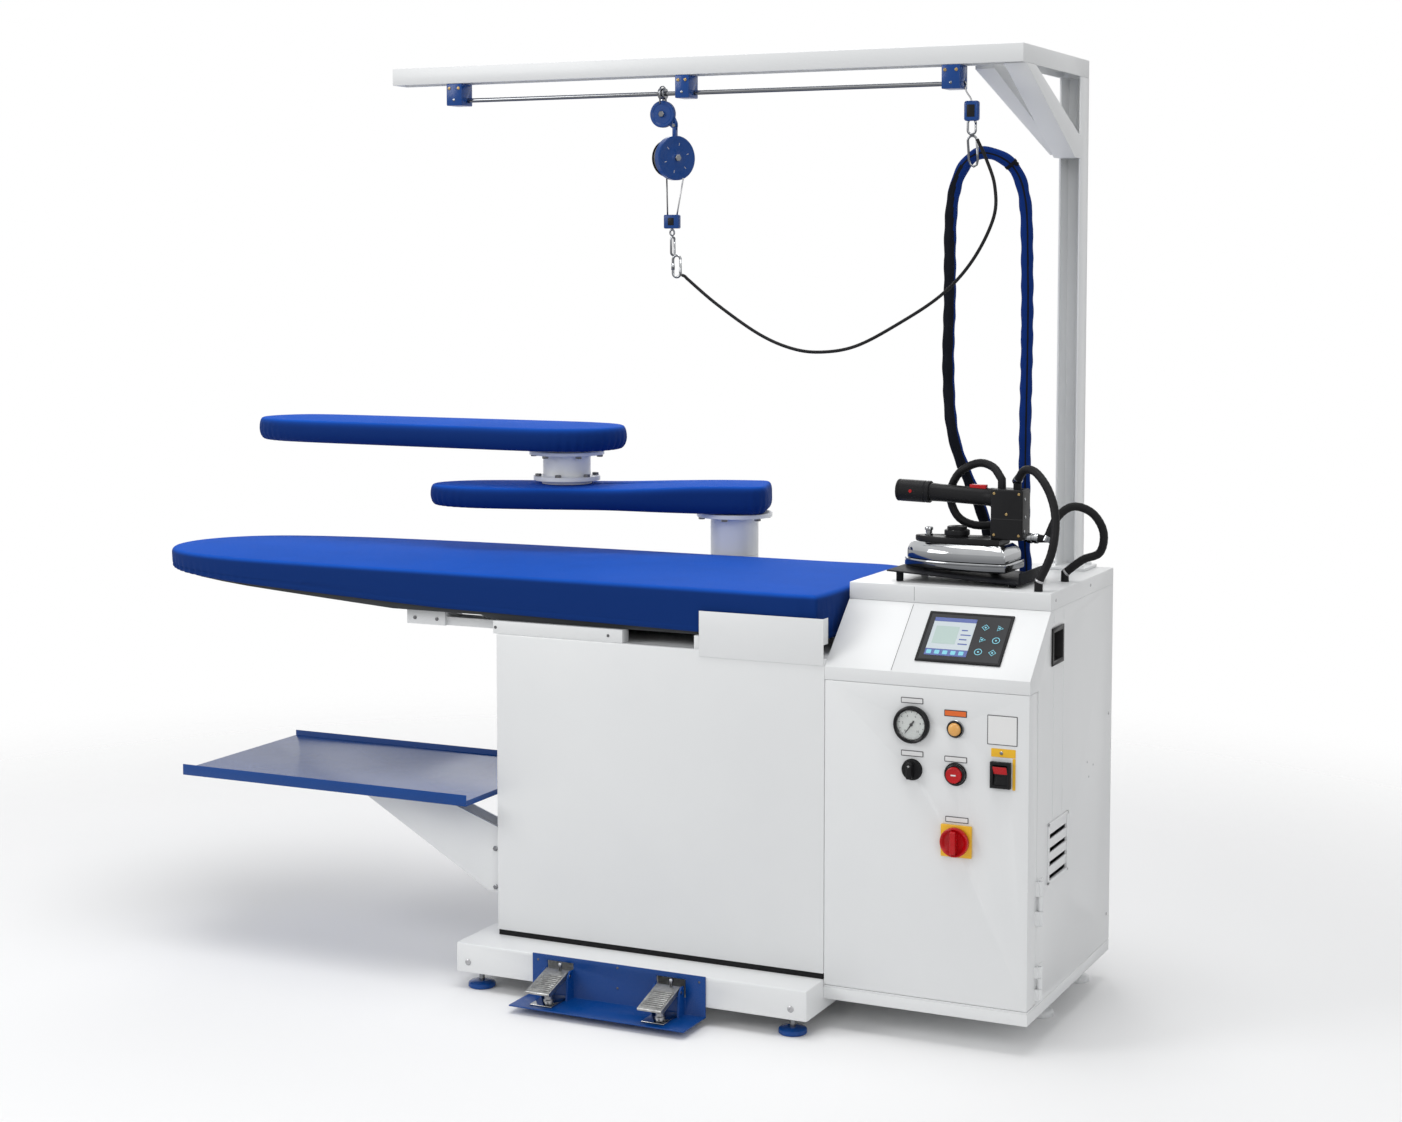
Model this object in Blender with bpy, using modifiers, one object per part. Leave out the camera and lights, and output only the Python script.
"""Industrial steam pressing machine: a padded table with two swinging padded arms,
a steam generator cabinet, an overhead rail with a cable balancer, and a steam iron.

Metres, +Z up.  X runs along the machine, with the cabinet on the right, and the
operator stands at -Y.  The sizes below are written in a shop frame whose origin is
on the floor at the cabinet's front right corner.  The last step moves the finished
machine so that its own origin is the middle of its footprint on the floor.
"""

import math

import bmesh
import bpy
from mathutils import Matrix, Vector

# General fits
GAP = 0.0003                # air between two pieces that rest on each other
OVERRUN = 0.004             # how far a cutter runs past the face that it cuts
SHEET = 0.002               # folded sheet of the panels
SIDES = 16                  # facets of a small round piece
WELD = 0.00001              # points closer than this are one
SINK = 0.001                # how deep a welded piece enters the one that carries it

# The boiler cabinet's footprint and the table's height, which their neighbours follow
CABINET_WIDTH = 0.440
CABINET_DEPTH = 0.599
TABLE_TOP = 0.905

# Floor and base
FOOT_RADIUS = 0.030
FOOT_HEIGHT = 0.012
FOOT_EDGE = 0.004
STEM_RADIUS = 0.006
BASE_LEFT = -1.275
BASE_RIGHT = -CABINET_WIDTH - GAP
BASE_FRONT = -0.089
BASE_REAR = 0.705
BASE_BOTTOM = 0.038
BASE_TOP = 0.102
BASE_WALL = 0.004
FOOT_BLOCK = 0.060          # square block in each corner that takes a foot's stem

# Pedestal
PEDESTAL_LEFT = -1.221
PEDESTAL_RIGHT = BASE_RIGHT
PEDESTAL_DEPTH = 0.500
PEDESTAL_BOTTOM = 0.114
TABLE_STACK = 0.130          # from the pedestal's top to the table's top
PEDESTAL_TOP = TABLE_TOP - TABLE_STACK
PANEL_DEPTH = 0.020
PLINTH_INSET = 0.030
PLINTH_RAIL = 0.030

# Table: plenum, cover and what carries them
RAIL_HEIGHT = 0.0287
RAIL_WIDTH = 0.030
FRONT_RAIL_LEFT = -1.231
FRONT_RAIL_RIGHT = -0.911
RAIL_SETBACK = 0.004
CROSS_RAIL_LEFT = -0.740
CROSS_RAIL_WIDTH = 0.040
NOSE_BOX_LEFT = -1.483
NOSE_BOX_LENGTH = 0.100
NOSE_BOX_FRONT = 0.050
NOSE_BOX_DEPTH = 0.075
NOSE_BOX_HEIGHT = 0.036
NOSE_ARM_HEIGHT = 0.020
NOSE_ARM_WIDTH = 0.050
TABLE_SIDE_GAP = 0.015
TABLE_RIGHT = -CABINET_WIDTH - TABLE_SIDE_GAP
TABLE_TIP = -2.245
TABLE_FRONT = 0.003
TABLE_REAR = 0.560
TABLE_CROWN = 0.007
TABLE_ROLL = 0.012          # radius at which the cover rolls over the edge
COVER_THICKNESS = 0.010
HEM_DROP_RIGHT = 0.099      # from the top to the cover's lower edge beside the cabinet
HEM_DROP_MIDDLE = 0.083
HEM_MIDDLE_X = -1.365
HEM_DROP_TIP = 0.045
HEM_RIGHT = TABLE_TOP - HEM_DROP_RIGHT
HEM_MIDDLE = TABLE_TOP - HEM_DROP_MIDDLE
HEM_TIP = TABLE_TOP - HEM_DROP_TIP
BUCK_RISE_X = -1.240        # where the plenum's underside starts to rise to the tip
BUCK_TIP_DROP = 0.043
BUCK_TIP_BOTTOM = TABLE_TOP - BUCK_TIP_DROP

# Guard plate beside the cabinet
GUARD_LEFT = -0.726
GUARD_SIDE_GAP = 0.002
GUARD_RIGHT = -CABINET_WIDTH - GUARD_SIDE_GAP
GUARD_DROP = 0.047          # from the table's top to the plate's top edge
GUARD_HEIGHT = 0.097
GUARD_TOP = TABLE_TOP - GUARD_DROP
GUARD_BOTTOM = GUARD_TOP - GUARD_HEIGHT
GUARD_RETURN = 0.024

# Shelf
SHELF_LEFT = -2.018
SHELF_RIGHT = -1.253
SHELF_FRONT = -0.080
SHELF_REAR = 0.373
SHELF_TOP = 0.4155
SHELF_DROP = 0.0125         # how far the tray's edge folds down
SHELF_LIP = 0.0125          # how far the front and rear lips stand up
SHELF_SHEET = 0.0025
BRACKET_SHEET = 0.005
BRACKET_FRONT = 0.030
BRACKET_WIDTH = 0.050
BRACKET_WALL_TOP = 0.330
BRACKET_WALL_BOTTOM = 0.190
BRACKET_REACH = -1.620      # outer end of the plate under the tray
BRACKET_PLATE_RIGHT = -1.450
BRACKET_FLANGE = 0.040

# Cabinet
CABINET_BOTTOM = 0.063
CABINET_TOP = 0.884
PLINTH_SEAM = 0.090
SEAM = 0.003
CABINET_WALL = 0.004
CONSOLE_FOOT = 0.761        # where the console starts to slope back
CONSOLE_DEPTH = 0.136
CONSOLE_SHEET = 0.003
CONSOLE_JOINT_X = -0.295
LID_TOP = 0.920
LID_OVERHANG = 0.002

# Door
DOOR_MARGIN = 0.0006
DOOR_BOTTOM = 0.0925
DOOR_TOP = 0.733
DOOR_RETURN = 0.055
DOOR_SHEET = 0.003
HINGE_UPPER_BOTTOM = 0.256
HINGE_UPPER_TOP = 0.346
HINGE_LOWER_BOTTOM = 0.103
HINGE_LOWER_TOP = 0.171
HINGE_OUT = 0.0075          # axis of the hinge outside the cabinet's side
HINGE_BACK = 0.060          # axis of the hinge behind the door's face
KNUCKLE_RADIUS = 0.0055
LEAF_SHEET = 0.002
LEAF_LENGTH = 0.030

# Things on the console
BEZEL_LEFT = -0.252
BEZEL_RIGHT = -0.070
BEZEL_LOW = 0.031           # measured up the slope from its foot
BEZEL_HIGH = 0.162
BEZEL_THICKNESS = 0.004
BEZEL_RIM = 0.006

# Things on the door
GAUGE_X, GAUGE_Z, GAUGE_RADIUS = -0.247, 0.656, 0.038
GAUGE_DEPTH = 0.014
GAUGE_RIM = 0.005
GAUGE_DISH = 0.008
NEEDLE_LENGTH = 0.026
NEEDLE_TAIL = 0.008
NEEDLE_WIDTH = 0.0022
NEEDLE_THICKNESS = 0.0014
NEEDLE_LIFT = 0.0012
NEEDLE_HUB = 0.0035
SPIGOT_RADIUS = 0.007       # shank behind a button or knob that runs in the door
AMBER_X, AMBER_Z, AMBER_RADIUS = -0.155, 0.654, 0.0165
BUTTON_RING = 0.0045
AMBER_DEPTH = 0.014
BUTTON_TRAVEL = 0.004
KNOB_X, KNOB_Z, KNOB_RADIUS = -0.247, 0.563, 0.021
KNOB_SKIRT = 0.006
KNOB_DEPTH = 0.024
KNOB_GRIP = 0.007
RED_X, RED_Z, RED_RADIUS = -0.154, 0.562, 0.021
RED_DEPTH = 0.016
SHANK_LENGTH = 0.012
ROCKER_LEFT, ROCKER_RIGHT = -0.079, -0.037
ROCKER_BOTTOM, ROCKER_TOP = 0.543, 0.596
ROCKER_FRAME = 0.006
ROCKER_DEPTH = 0.010
ROCKER_WAVE = 0.004
ROCKER_PIN = 0.0020
MAIN_X, MAIN_Z, MAIN_RADIUS = -0.1505, 0.426, 0.030
MAIN_PLATE = 0.066
MAIN_PLATE_DEPTH = 0.006
MAIN_COLLAR = 0.026
MAIN_COLLAR_DEPTH = 0.009
MAIN_DEPTH = 0.030
MAIN_GRIP_WIDTH = 0.013

# Side of the cabinet
HANDLE_FRONT, HANDLE_REAR = 0.140, 0.221
HANDLE_BOTTOM, HANDLE_TOP = 0.770, 0.848
HANDLE_LIP = 0.003
HANDLE_DEPTH = 0.030
HANDLE_FRAME = 0.008
LOUVRE_FRONT, LOUVRE_REAR = 0.135, 0.260
LOUVRE_BOTTOM, LOUVRE_TOP = 0.328, 0.441
LOUVRE_SLOTS = 4
LOUVRE_SLOT = 0.010

# Boiler inside the cabinet
BOILER_RADIUS = 0.130
BOILER_LENGTH = 0.360
BOILER_Z = 0.300
BOILER_DOME = 0.040
BOILER_CRADLE = 0.030
BOILER_WALL = 0.004
BOILER_NECK = 0.016         # bore through which the steam leaves

# Overhead rail
BEAM_LEFT = -1.560
BEAM_RIGHT = -0.068
BEAM_FRONT = 0.130
BEAM_WIDTH = 0.060
BEAM_BOTTOM = 1.992
BEAM_TOP = 2.030
BEAM_SHEET = 0.004
COLUMN_DEPTH = 0.059
COLUMN_FRONT = CABINET_DEPTH - COLUMN_DEPTH
COLUMN_LEFT = -0.116
COLUMN_SHEET = 0.004
COLUMN_FLANGE = 0.006
COLUMN_FOOT_MARGIN = 0.030
ROD_RADIUS = 0.005
ROD_Y = 0.160
ROD_Z = 1.955
ROD_LEFT = -1.404
ROD_RIGHT = -0.222
ROD_BRACKET_WIDTH = 0.040
ROD_BRACKET_DEPTH = 0.048
ROD_BRACKET_HEIGHT = 0.049
ROD_BRACKET_CENTRES = (-1.398, -0.8295, -0.222)
RUNNING_GAP = 0.0004        # air round a pin or rod in its bore

# Trolley and balancer
TROLLEY_X = -0.889
TROLLEY_RING = 0.0125
TROLLEY_RING_WIDTH = 0.016
TROLLEY_DROP = 0.044        # from the rod to the small pulley's centre
PULLEY_RADIUS = 0.029
PULLEY_WIDTH = 0.012
TROLLEY_STRAP = 0.010
BALANCER_Z = 1.816
BALANCER_RADIUS = 0.048
BALANCER_WIDTH = 0.016
BALANCER_TURN = math.radians(60.0)
DRUM_RADIUS = 0.040
DRUM_WIDTH = 0.022
DRUM_AXLE = 0.006
WIRE_RADIUS = 0.0022
CLAMP_X = -0.867
CLAMP_BOTTOM, CLAMP_TOP = 1.664, 1.694
CLAMP_WIDTH = 0.036
CLAMP_DEPTH = 0.014
EYE_RADIUS = 0.009
LINK_RADIUS = 0.0028
LINK_PITCH = 0.030
HOOK_TOP = 1.609
HOOK_BOTTOM = 1.556
HOOK_WIDTH = 0.030
HOOK_STOCK = 0.0030

# Hose hanger
HANGER_X = -0.186
HANGER_CLAMP_BOTTOM, HANGER_CLAMP_TOP = 1.878, 1.919
HANGER_CLAMP_WIDTH = 0.031
HANGER_CLAMP_DEPTH = 0.016
SHACKLE_WIDTH = 0.022

# Posts and arms
POST_RADIUS = 0.057
POST_WALL = 0.004
POST_X = -0.930
POST_Y = 0.625
POST_FLANGE_RADIUS = 0.090
POST_FLANGE = 0.010
ARM_CLEARANCE = 0.105       # between the table's top and the lower arm
ARM_SEAT = 0.020            # from the post's top to the lower arm
LOWER_BOTTOM = TABLE_TOP + ARM_CLEARANCE
POST_TOP = LOWER_BOTTOM - ARM_SEAT
POST_FOOT = 0.075
POST_FOOT_PLATE = 0.010
SPIGOT_BORE = 0.040
ARM_REST_TURN = math.radians(18.0)
LOWER_LENGTH = 0.740
LOWER_BACK = 0.085
LOWER_WIDTH = 0.240
LOWER_THICKNESS = 0.050
LOWER_TOP = LOWER_BOTTOM + LOWER_THICKNESS
LOWER_CROWN = 0.004
UPPER_PIVOT = 0.405         # along the lower arm from the main post's axis
BEARING_RADIUS = 0.060
BEARING_HEIGHT = 0.008
UPPER_POST_FLANGE = 0.080
UPPER_POST_FLANGE_HEIGHT = 0.010
UPPER_FLANGE_RADIUS = 0.090
UPPER_FLANGE_HEIGHT = 0.008
UPPER_POST_HEIGHT = 0.074   # above the lower arm's top
UPPER_SEAT = 0.014
UPPER_THICKNESS = 0.055
UPPER_POST_TOP = LOWER_TOP + UPPER_POST_HEIGHT
UPPER_BOTTOM = UPPER_POST_TOP + UPPER_SEAT
UPPER_TOP = UPPER_BOTTOM + UPPER_THICKNESS
UPPER_CROWN = 0.005
UPPER_WIDTH = 0.285
UPPER_TIP_LENGTH = 0.870
UPPER_BACK = 0.145
ARM_COVER_THICKNESS = 0.012
FLANGE_BOLTS = 6
BOLT_HEAD = 0.008
BOLT_HEAD_HEIGHT = 0.006

# Iron tray and iron
TRAY_LEFT, TRAY_RIGHT = -0.370, -0.078
TRAY_FRONT, TRAY_REAR = 0.170, 0.360
TRAY_LOW_Z, TRAY_HIGH_Z = 0.930, 0.945
TRAY_SHEET = 0.003
TRAY_LIP = 0.022
TRAY_FOOT = 0.008
IRON_Y = 0.265
SOLE_TIP_X = -0.363
SOLE_HEEL_X = -0.118
SOLE_WIDTH = 0.128
SOLE_THICKNESS = 0.018
IRON_BODY_TOP = 1.000
IRON_PLATE = 0.012
DIAL_X = -0.247
DIAL_RADIUS = 0.027
DIAL_HEIGHT = 0.022
HOUSING_LEFT, HOUSING_RIGHT = -0.165, -0.095
HOUSING_WIDTH = 0.056
HOUSING_TOP = 1.118
GRIP_RADIUS = 0.020
GRIP_Z = 1.098
GRIP_LEFT = -0.380
FRONT_GRIP_RADIUS = 0.0235
FRONT_GRIP_LENGTH = 0.075
TRIGGER_X = -0.200
TRIGGER_LENGTH = 0.036
TRIGGER_WIDTH = 0.014
TRIGGER_HEIGHT = 0.007
TRIGGER_TRAVEL = 0.003
NUB_X = -0.310
NUB_RADIUS = 0.009
NUB_HEIGHT = 0.018

# Pedals
PEDAL_PLATE_LEFT, PEDAL_PLATE_RIGHT = -1.081, -0.668
PEDAL_PLATE_BOTTOM, PEDAL_PLATE_TOP = 0.015, 0.103
PEDAL_PLATE_SHEET = 0.003
PEDAL_FLOOR_REACH = 0.104
PEDAL_CUTS = ((-1.044, -0.981), (-0.782, -0.714))
PEDAL_CUT_BOTTOM, PEDAL_CUT_TOP = 0.053, 0.092
PEDAL_WIDTH = 0.056
PEDAL_LENGTH = 0.088
PEDAL_THICKNESS = 0.010
PEDAL_PIVOT_OUT = 0.016     # pivot in front of the plate
PEDAL_PIVOT_Z = 0.068
PEDAL_REST_TILT = math.radians(16.0)
PEDAL_PIN = 0.004
PEDAL_TAB_RADIUS = 0.004    # bright lever tab that stands behind the treadle
PEDAL_TAB_HEIGHT = 0.027
PEDAL_TAB_SIDE = 0.008
PEDAL_HUB = 0.009
EAR_SHEET = 0.004
EAR_RADIUS = 0.011
PEDAL_RIBS = 5
PEDAL_RIB_HEIGHT = 0.002

WHITE = ((0.83, 0.84, 0.85), 0.38, 0.0)
BLUE_PAINT = ((0.01, 0.09, 0.36), 0.35, 0.0)
BLUE_CLOTH = ((0.01, 0.10, 0.55), 0.85, 0.0)
STEEL = ((0.62, 0.63, 0.64), 0.30, 1.0)
CHROME = ((0.80, 0.81, 0.82), 0.08, 1.0)
BLACK = ((0.02, 0.02, 0.022), 0.45, 0.0)
RUBBER = ((0.015, 0.015, 0.016), 0.80, 0.0)
RED = ((0.60, 0.02, 0.02), 0.35, 0.0)
AMBER = ((0.90, 0.42, 0.04), 0.30, 0.0)
YELLOW = ((0.90, 0.62, 0.02), 0.40, 0.0)

for old in list(bpy.data.objects):
    bpy.data.objects.remove(old, do_unlink=True)

PARTS = bpy.data.collections.new("steam_pressing_machine")
CUTTERS = bpy.data.collections.new("cutters")
for collection in (PARTS, CUTTERS):
    bpy.context.scene.collection.children.link(collection)


def empty(name, at, parent=None, turn=0.0):
    """A frame of axes that carries the pieces of one assembly."""
    axes = bpy.data.objects.new(name, None)
    PARTS.objects.link(axes)
    axes.location = at
    axes.rotation_euler = (0.0, 0.0, turn)
    axes.parent = parent
    return axes


MACHINE = empty("machine", (0.0, 0.0, 0.0))
LOWER_ARM = empty("lower_arm_axis", (POST_X, POST_Y, 0.0), MACHINE, ARM_REST_TURN)
UPPER_ARM = empty("upper_arm_axis", (-UPPER_PIVOT, 0.0, 0.0), LOWER_ARM, -ARM_REST_TURN)


def ingredient(mesh):
    """Every shape starts among the cutters, in the axes of its assembly."""
    shape = bpy.data.objects.new("shape", mesh)
    CUTTERS.objects.link(shape)
    shape.hide_render = True
    shape.display_type = "WIRE"
    shape.parent = MACHINE
    return shape


def from_bmesh(bm):
    bmesh.ops.recalc_face_normals(bm, faces=bm.faces)
    mesh = bpy.data.meshes.new("shape")
    bm.to_mesh(mesh)
    bm.free()
    return ingredient(mesh)


def baked(shape, weld=WELD):
    """The shape as a plain mesh: its modifiers or its curve worked out and welded."""
    graph = bpy.context.evaluated_depsgraph_get()
    mesh = bpy.data.meshes.new_from_object(shape.evaluated_get(graph))
    mesh.transform(shape.matrix_basis)
    bpy.data.objects.remove(shape, do_unlink=True)
    bm = bmesh.new()
    bm.from_mesh(mesh)
    bmesh.ops.remove_doubles(bm, verts=bm.verts, dist=weld)
    return from_bmesh(bm)


def block(low, high):
    """A box between two corners."""
    low, high = Vector(low), Vector(high)
    bm = bmesh.new()
    bmesh.ops.create_cube(bm, size=1)
    bmesh.ops.scale(bm, vec=high - low, verts=bm.verts)
    bmesh.ops.translate(bm, vec=(low + high) / 2, verts=bm.verts)
    return from_bmesh(bm)


def shell(low, high, open_side, wall, corner=0.0):
    """A folded sheet box, open on one side: 'front', 'back' or 'below'."""
    shape = block(low, high)
    outward = {"front": (0, -1, 0), "back": (0, 1, 0), "below": (0, 0, -1)}[open_side]
    bm = bmesh.new()
    bm.from_mesh(shape.data)
    gone = [face for face in bm.faces if face.normal.dot(Vector(outward)) > 0.5]
    bmesh.ops.delete(bm, geom=gone, context="FACES")
    bm.to_mesh(shape.data)
    bm.free()
    if corner:
        bevel(shape, corner, 2)
    solid = shape.modifiers.new("sheet", "SOLIDIFY")
    solid.thickness = wall
    solid.offset = -1
    solid.use_even_offset = True
    return baked(shape)


def bevel(shape, width, segments=2, angle=math.radians(40)):
    edge = shape.modifiers.new("edges", "BEVEL")
    edge.width = width
    edge.segments = segments
    edge.limit_method = "ANGLE"
    edge.angle_limit = angle
    return shape


def cylinder(start, end, radius, sides=SIDES, end_radius=None):
    """A cylinder or a cone between two points."""
    start, end = Vector(start), Vector(end)
    along = end - start
    turn = Vector((0, 0, 1)).rotation_difference(along).to_matrix().to_4x4()
    bm = bmesh.new()
    bmesh.ops.create_cone(bm, cap_ends=True, segments=sides, radius1=radius,
                          radius2=radius if end_radius is None else end_radius,
                          depth=along.length,
                          matrix=Matrix.Translation((start + end) / 2) @ turn)
    return from_bmesh(bm)


def turned(profile, at, axis=(0, 0, 1), steps=SIDES):
    """A solid of revolution: (radius, height) down its outer side, Screw modifier."""
    bm = bmesh.new()
    points = [bm.verts.new((radius, 0.0, height)) for radius, height in profile]
    for one, two in zip(points, points[1:]):
        bm.edges.new((one, two))
    mesh = bpy.data.meshes.new("profile")
    bm.to_mesh(mesh)
    bm.free()
    shape = ingredient(mesh)
    screw = shape.modifiers.new("turn", "SCREW")
    screw.steps = steps
    screw.render_steps = steps
    screw.use_merge_vertices = True
    screw.merge_threshold = WELD
    shape = baked(shape)
    turn = Vector((0, 0, 1)).rotation_difference(Vector(axis)).to_matrix().to_4x4()
    shape.data.transform(Matrix.Translation(at) @ turn)
    return shape


PLANES = {
    "plan": Matrix(((1, 0, 0, 0), (0, 1, 0, 0), (0, 0, 1, 0), (0, 0, 0, 1))),
    "front": Matrix(((1, 0, 0, 0), (0, 0, -1, 0), (0, 1, 0, 0), (0, 0, 0, 1))),
    "side": Matrix(((0, 0, 1, 0), (1, 0, 0, 0), (0, 1, 0, 0), (0, 0, 0, 1))),
}


def extruded(plane, outline, low, high, holes=()):
    """A flat outline given thickness: a 2D curve, filled and extruded.

    'plan' takes (x, y) and runs along Z, 'front' takes (x, z) and runs along Y, and
    'side' takes (y, z) and runs along X, each from low to high.
    """
    curve = bpy.data.curves.new("outline", "CURVE")
    curve.dimensions = "2D"
    curve.fill_mode = "BOTH"
    curve.extrude = (high - low) / 2
    for ring in (outline,) + tuple(holes):
        spline = curve.splines.new("POLY")
        spline.points.add(len(ring) - 1)
        for point, (across, up) in zip(spline.points, ring):
            point.co = (across, up, 0.0, 1.0)
        spline.use_cyclic_u = True
    shape = ingredient(curve)
    middle = (low + high) / 2
    shift = {"plan": (0, 0, middle), "front": (0, middle, 0), "side": (middle, 0, 0)}
    shape = baked(shape)
    bm = bmesh.new()
    bm.from_mesh(shape.data)
    bmesh.ops.dissolve_limit(bm, angle_limit=math.radians(0.05), verts=bm.verts,
                             edges=bm.edges)
    bm.to_mesh(shape.data)
    bm.free()
    shape.data.transform(Matrix.Translation(shift[plane]) @ PLANES[plane])
    return shape


def tube(points, radius, resolution=3):
    """A bar or a cord along a line of points: a curve with a round bevel."""
    curve = bpy.data.curves.new("path", "CURVE")
    curve.dimensions = "3D"
    curve.bevel_depth = radius
    curve.bevel_resolution = resolution
    curve.use_fill_caps = True
    spline = curve.splines.new("POLY")
    spline.points.add(len(points) - 1)
    for point, place in zip(spline.points, points):
        point.co = (*place, 1.0)
    return ingredient(curve)


def smooth_path(route, spacing):
    """Evenly spaced points along a smooth curve through the route's points."""
    route = [Vector(place) for place in route]
    padded = [2 * route[0] - route[1]] + route + [2 * route[-1] - route[-2]]
    fine = []
    for a, b, c, d in zip(padded, padded[1:], padded[2:], padded[3:]):
        for step in range(24):
            t = step / 24
            fine.append(0.5 * ((2 * b) + (c - a) * t + (2 * a - 5 * b + 4 * c - d) * t * t
                               + (3 * b - a - 3 * c + d) * t ** 3))
    fine.append(route[-1])
    return evenly(fine, spacing)


def evenly(fine, spacing):
    length = sum((b - a).length for a, b in zip(fine, fine[1:]))
    count = max(2, round(length / spacing))
    step, walked, points = length / count, 0.0, [fine[0]]
    for a, b in zip(fine, fine[1:]):
        reach = (b - a).length
        while reach and walked + reach >= step * len(points) and len(points) < count:
            points.append(a.lerp(b, (step * len(points) - walked) / reach))
        walked += reach
    return points + [fine[-1]]


def lofted(rings):
    """A closed skin over rings of as many points each, with flat ends."""
    bm = bmesh.new()
    rows = [[bm.verts.new(place) for place in ring] for ring in rings]
    for low, high in zip(rows, rows[1:]):
        for i in range(len(low)):
            j = (i + 1) % len(low)
            bm.faces.new((low[i], low[j], high[j], high[i]))
    bm.faces.new(rows[0])
    bm.faces.new(rows[-1])
    return from_bmesh(bm)


def moved_by(shape, matrix):
    shape.data.transform(matrix)
    return shape


def combined(shape, add=(), cut=()):
    """Boolean unions first, then cuts, with the exact solver."""
    for operation, others in (("UNION", add), ("DIFFERENCE", cut)):
        for other in others:
            boolean = shape.modifiers.new(operation.lower(), "BOOLEAN")
            boolean.operation = operation
            boolean.solver = "EXACT"
            boolean.object = other
    return shape


def fused(shape, add=(), cut=()):
    """The same, worked out at once, for a shape that is used in another."""
    others = list(add) + list(cut)
    shape = baked(combined(shape, add, cut))
    for other in others:
        bpy.data.objects.remove(other, do_unlink=True)
    return shape


def part(name, look, shape, add=(), cut=(), origin=None, parent=None):
    """Name a shape, paint it, and set its origin on its own joint or centre."""
    colour, roughness, metallic = look
    paint = bpy.data.materials.new(name)
    paint.use_nodes = True
    shader = paint.node_tree.nodes["Principled BSDF"]
    shader.inputs["Base Color"].default_value = (*colour, 1.0)
    shader.inputs["Roughness"].default_value = roughness
    shader.inputs["Metallic"].default_value = metallic
    combined(shape, add, cut)
    shape.name = name
    shape.data.name = name
    CUTTERS.objects.unlink(shape)
    PARTS.objects.link(shape)
    shape.hide_render = False
    shape.display_type = "TEXTURED"
    shape.data.materials.clear()
    shape.data.materials.append(paint)
    owner = parent or MACHINE
    for piece in (shape, *add, *cut):
        piece.parent = owner
    if origin is None:
        corners = [Vector(corner) for corner in shape.bound_box]
        origin = sum(corners, Vector()) / len(corners)
    shape.data.transform(Matrix.Translation(-Vector(origin)))
    shape.location = origin
    return shape


def hexagon(at, axis, radius, height):
    """A bolt head or nut that stands on the point, along the axis."""
    axis = Vector(axis).normalized()
    return cylinder(Vector(at), Vector(at) + axis * height, radius, sides=6)


def ring_places(count, radius, start=0.0):
    return [(radius * math.cos(start + 2 * math.pi * i / count),
             radius * math.sin(start + 2 * math.pi * i / count)) for i in range(count)]


# Base, feet and pedestal.

FOOT_INSET_X = 0.045
FOOT_INSET_FRONT = 0.034
FOOT_INSET_REAR = 0.045
CABINET_FOOT_X = -0.060
CABINET_FOOT_FRONT = 0.280
CABINET_FOOT_INSET = 0.049
CABINET_FOOT_Y = (CABINET_FOOT_FRONT, CABINET_DEPTH - CABINET_FOOT_INSET)
STEM_ENTRY = 0.012
NUT_RADIUS = 0.010
NUT_HEIGHT = 0.006
ROUND_SIDES = 12

base_feet = [(x, y) for x in (BASE_LEFT + FOOT_INSET_X, BASE_RIGHT - FOOT_INSET_X)
             for y in (BASE_FRONT + FOOT_INSET_FRONT, BASE_REAR - FOOT_INSET_REAR)]
cabinet_feet = [(CABINET_FOOT_X, y) for y in CABINET_FOOT_Y]


def foot(x, y, seat):
    """A disc foot whose stem and lock nut reach the sheet above it."""
    return turned([(0.0, seat + STEM_ENTRY), (STEM_RADIUS, seat + STEM_ENTRY),
                   (STEM_RADIUS, seat - GAP), (NUT_RADIUS, seat - GAP),
                   (NUT_RADIUS, seat - NUT_HEIGHT), (STEM_RADIUS, seat - NUT_HEIGHT),
                   (STEM_RADIUS, FOOT_HEIGHT + FOOT_EDGE), (FOOT_RADIUS - FOOT_EDGE, FOOT_HEIGHT),
                   (FOOT_RADIUS, FOOT_HEIGHT - FOOT_EDGE), (FOOT_RADIUS, 0.0), (0.0, 0.0)],
                  (x, y, 0.0), steps=ROUND_SIDES)


def foot_bore(x, y, seat):
    top = seat + STEM_ENTRY + RUNNING_GAP
    return turned([(0.0, top), (STEM_RADIUS + RUNNING_GAP, top),
                   (STEM_RADIUS + RUNNING_GAP, seat - OVERRUN), (0.0, seat - OVERRUN)],
                  (x, y, 0.0), steps=ROUND_SIDES)


foot_names = ("rear", "front")
for index, (x, y) in enumerate(base_feet):
    side = "left" if x < (BASE_LEFT + BASE_RIGHT) / 2 else "right"
    part(f"foot_{foot_names[1 - index % 2]}_{side}", BLUE_PAINT,
         foot(x, y, BASE_BOTTOM + BASE_WALL))

half_block = FOOT_BLOCK / 2
part("base_frame", WHITE,
     shell((BASE_LEFT, BASE_FRONT, BASE_BOTTOM), (BASE_RIGHT, BASE_REAR, BASE_TOP),
           "below", BASE_WALL, corner=BASE_WALL),
     add=[block((x - half_block, y - half_block, BASE_BOTTOM + BASE_WALL),
                (x + half_block, y + half_block, BASE_TOP - SINK)) for x, y in base_feet],
     cut=[foot_bore(x, y, BASE_BOTTOM + BASE_WALL) for x, y in base_feet]
     + [block((left, BASE_FRONT - OVERRUN, PEDAL_CUT_BOTTOM),
              (right, BASE_FRONT + BASE_WALL + OVERRUN, PEDAL_CUT_TOP))
        for left, right in PEDAL_CUTS])

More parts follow.
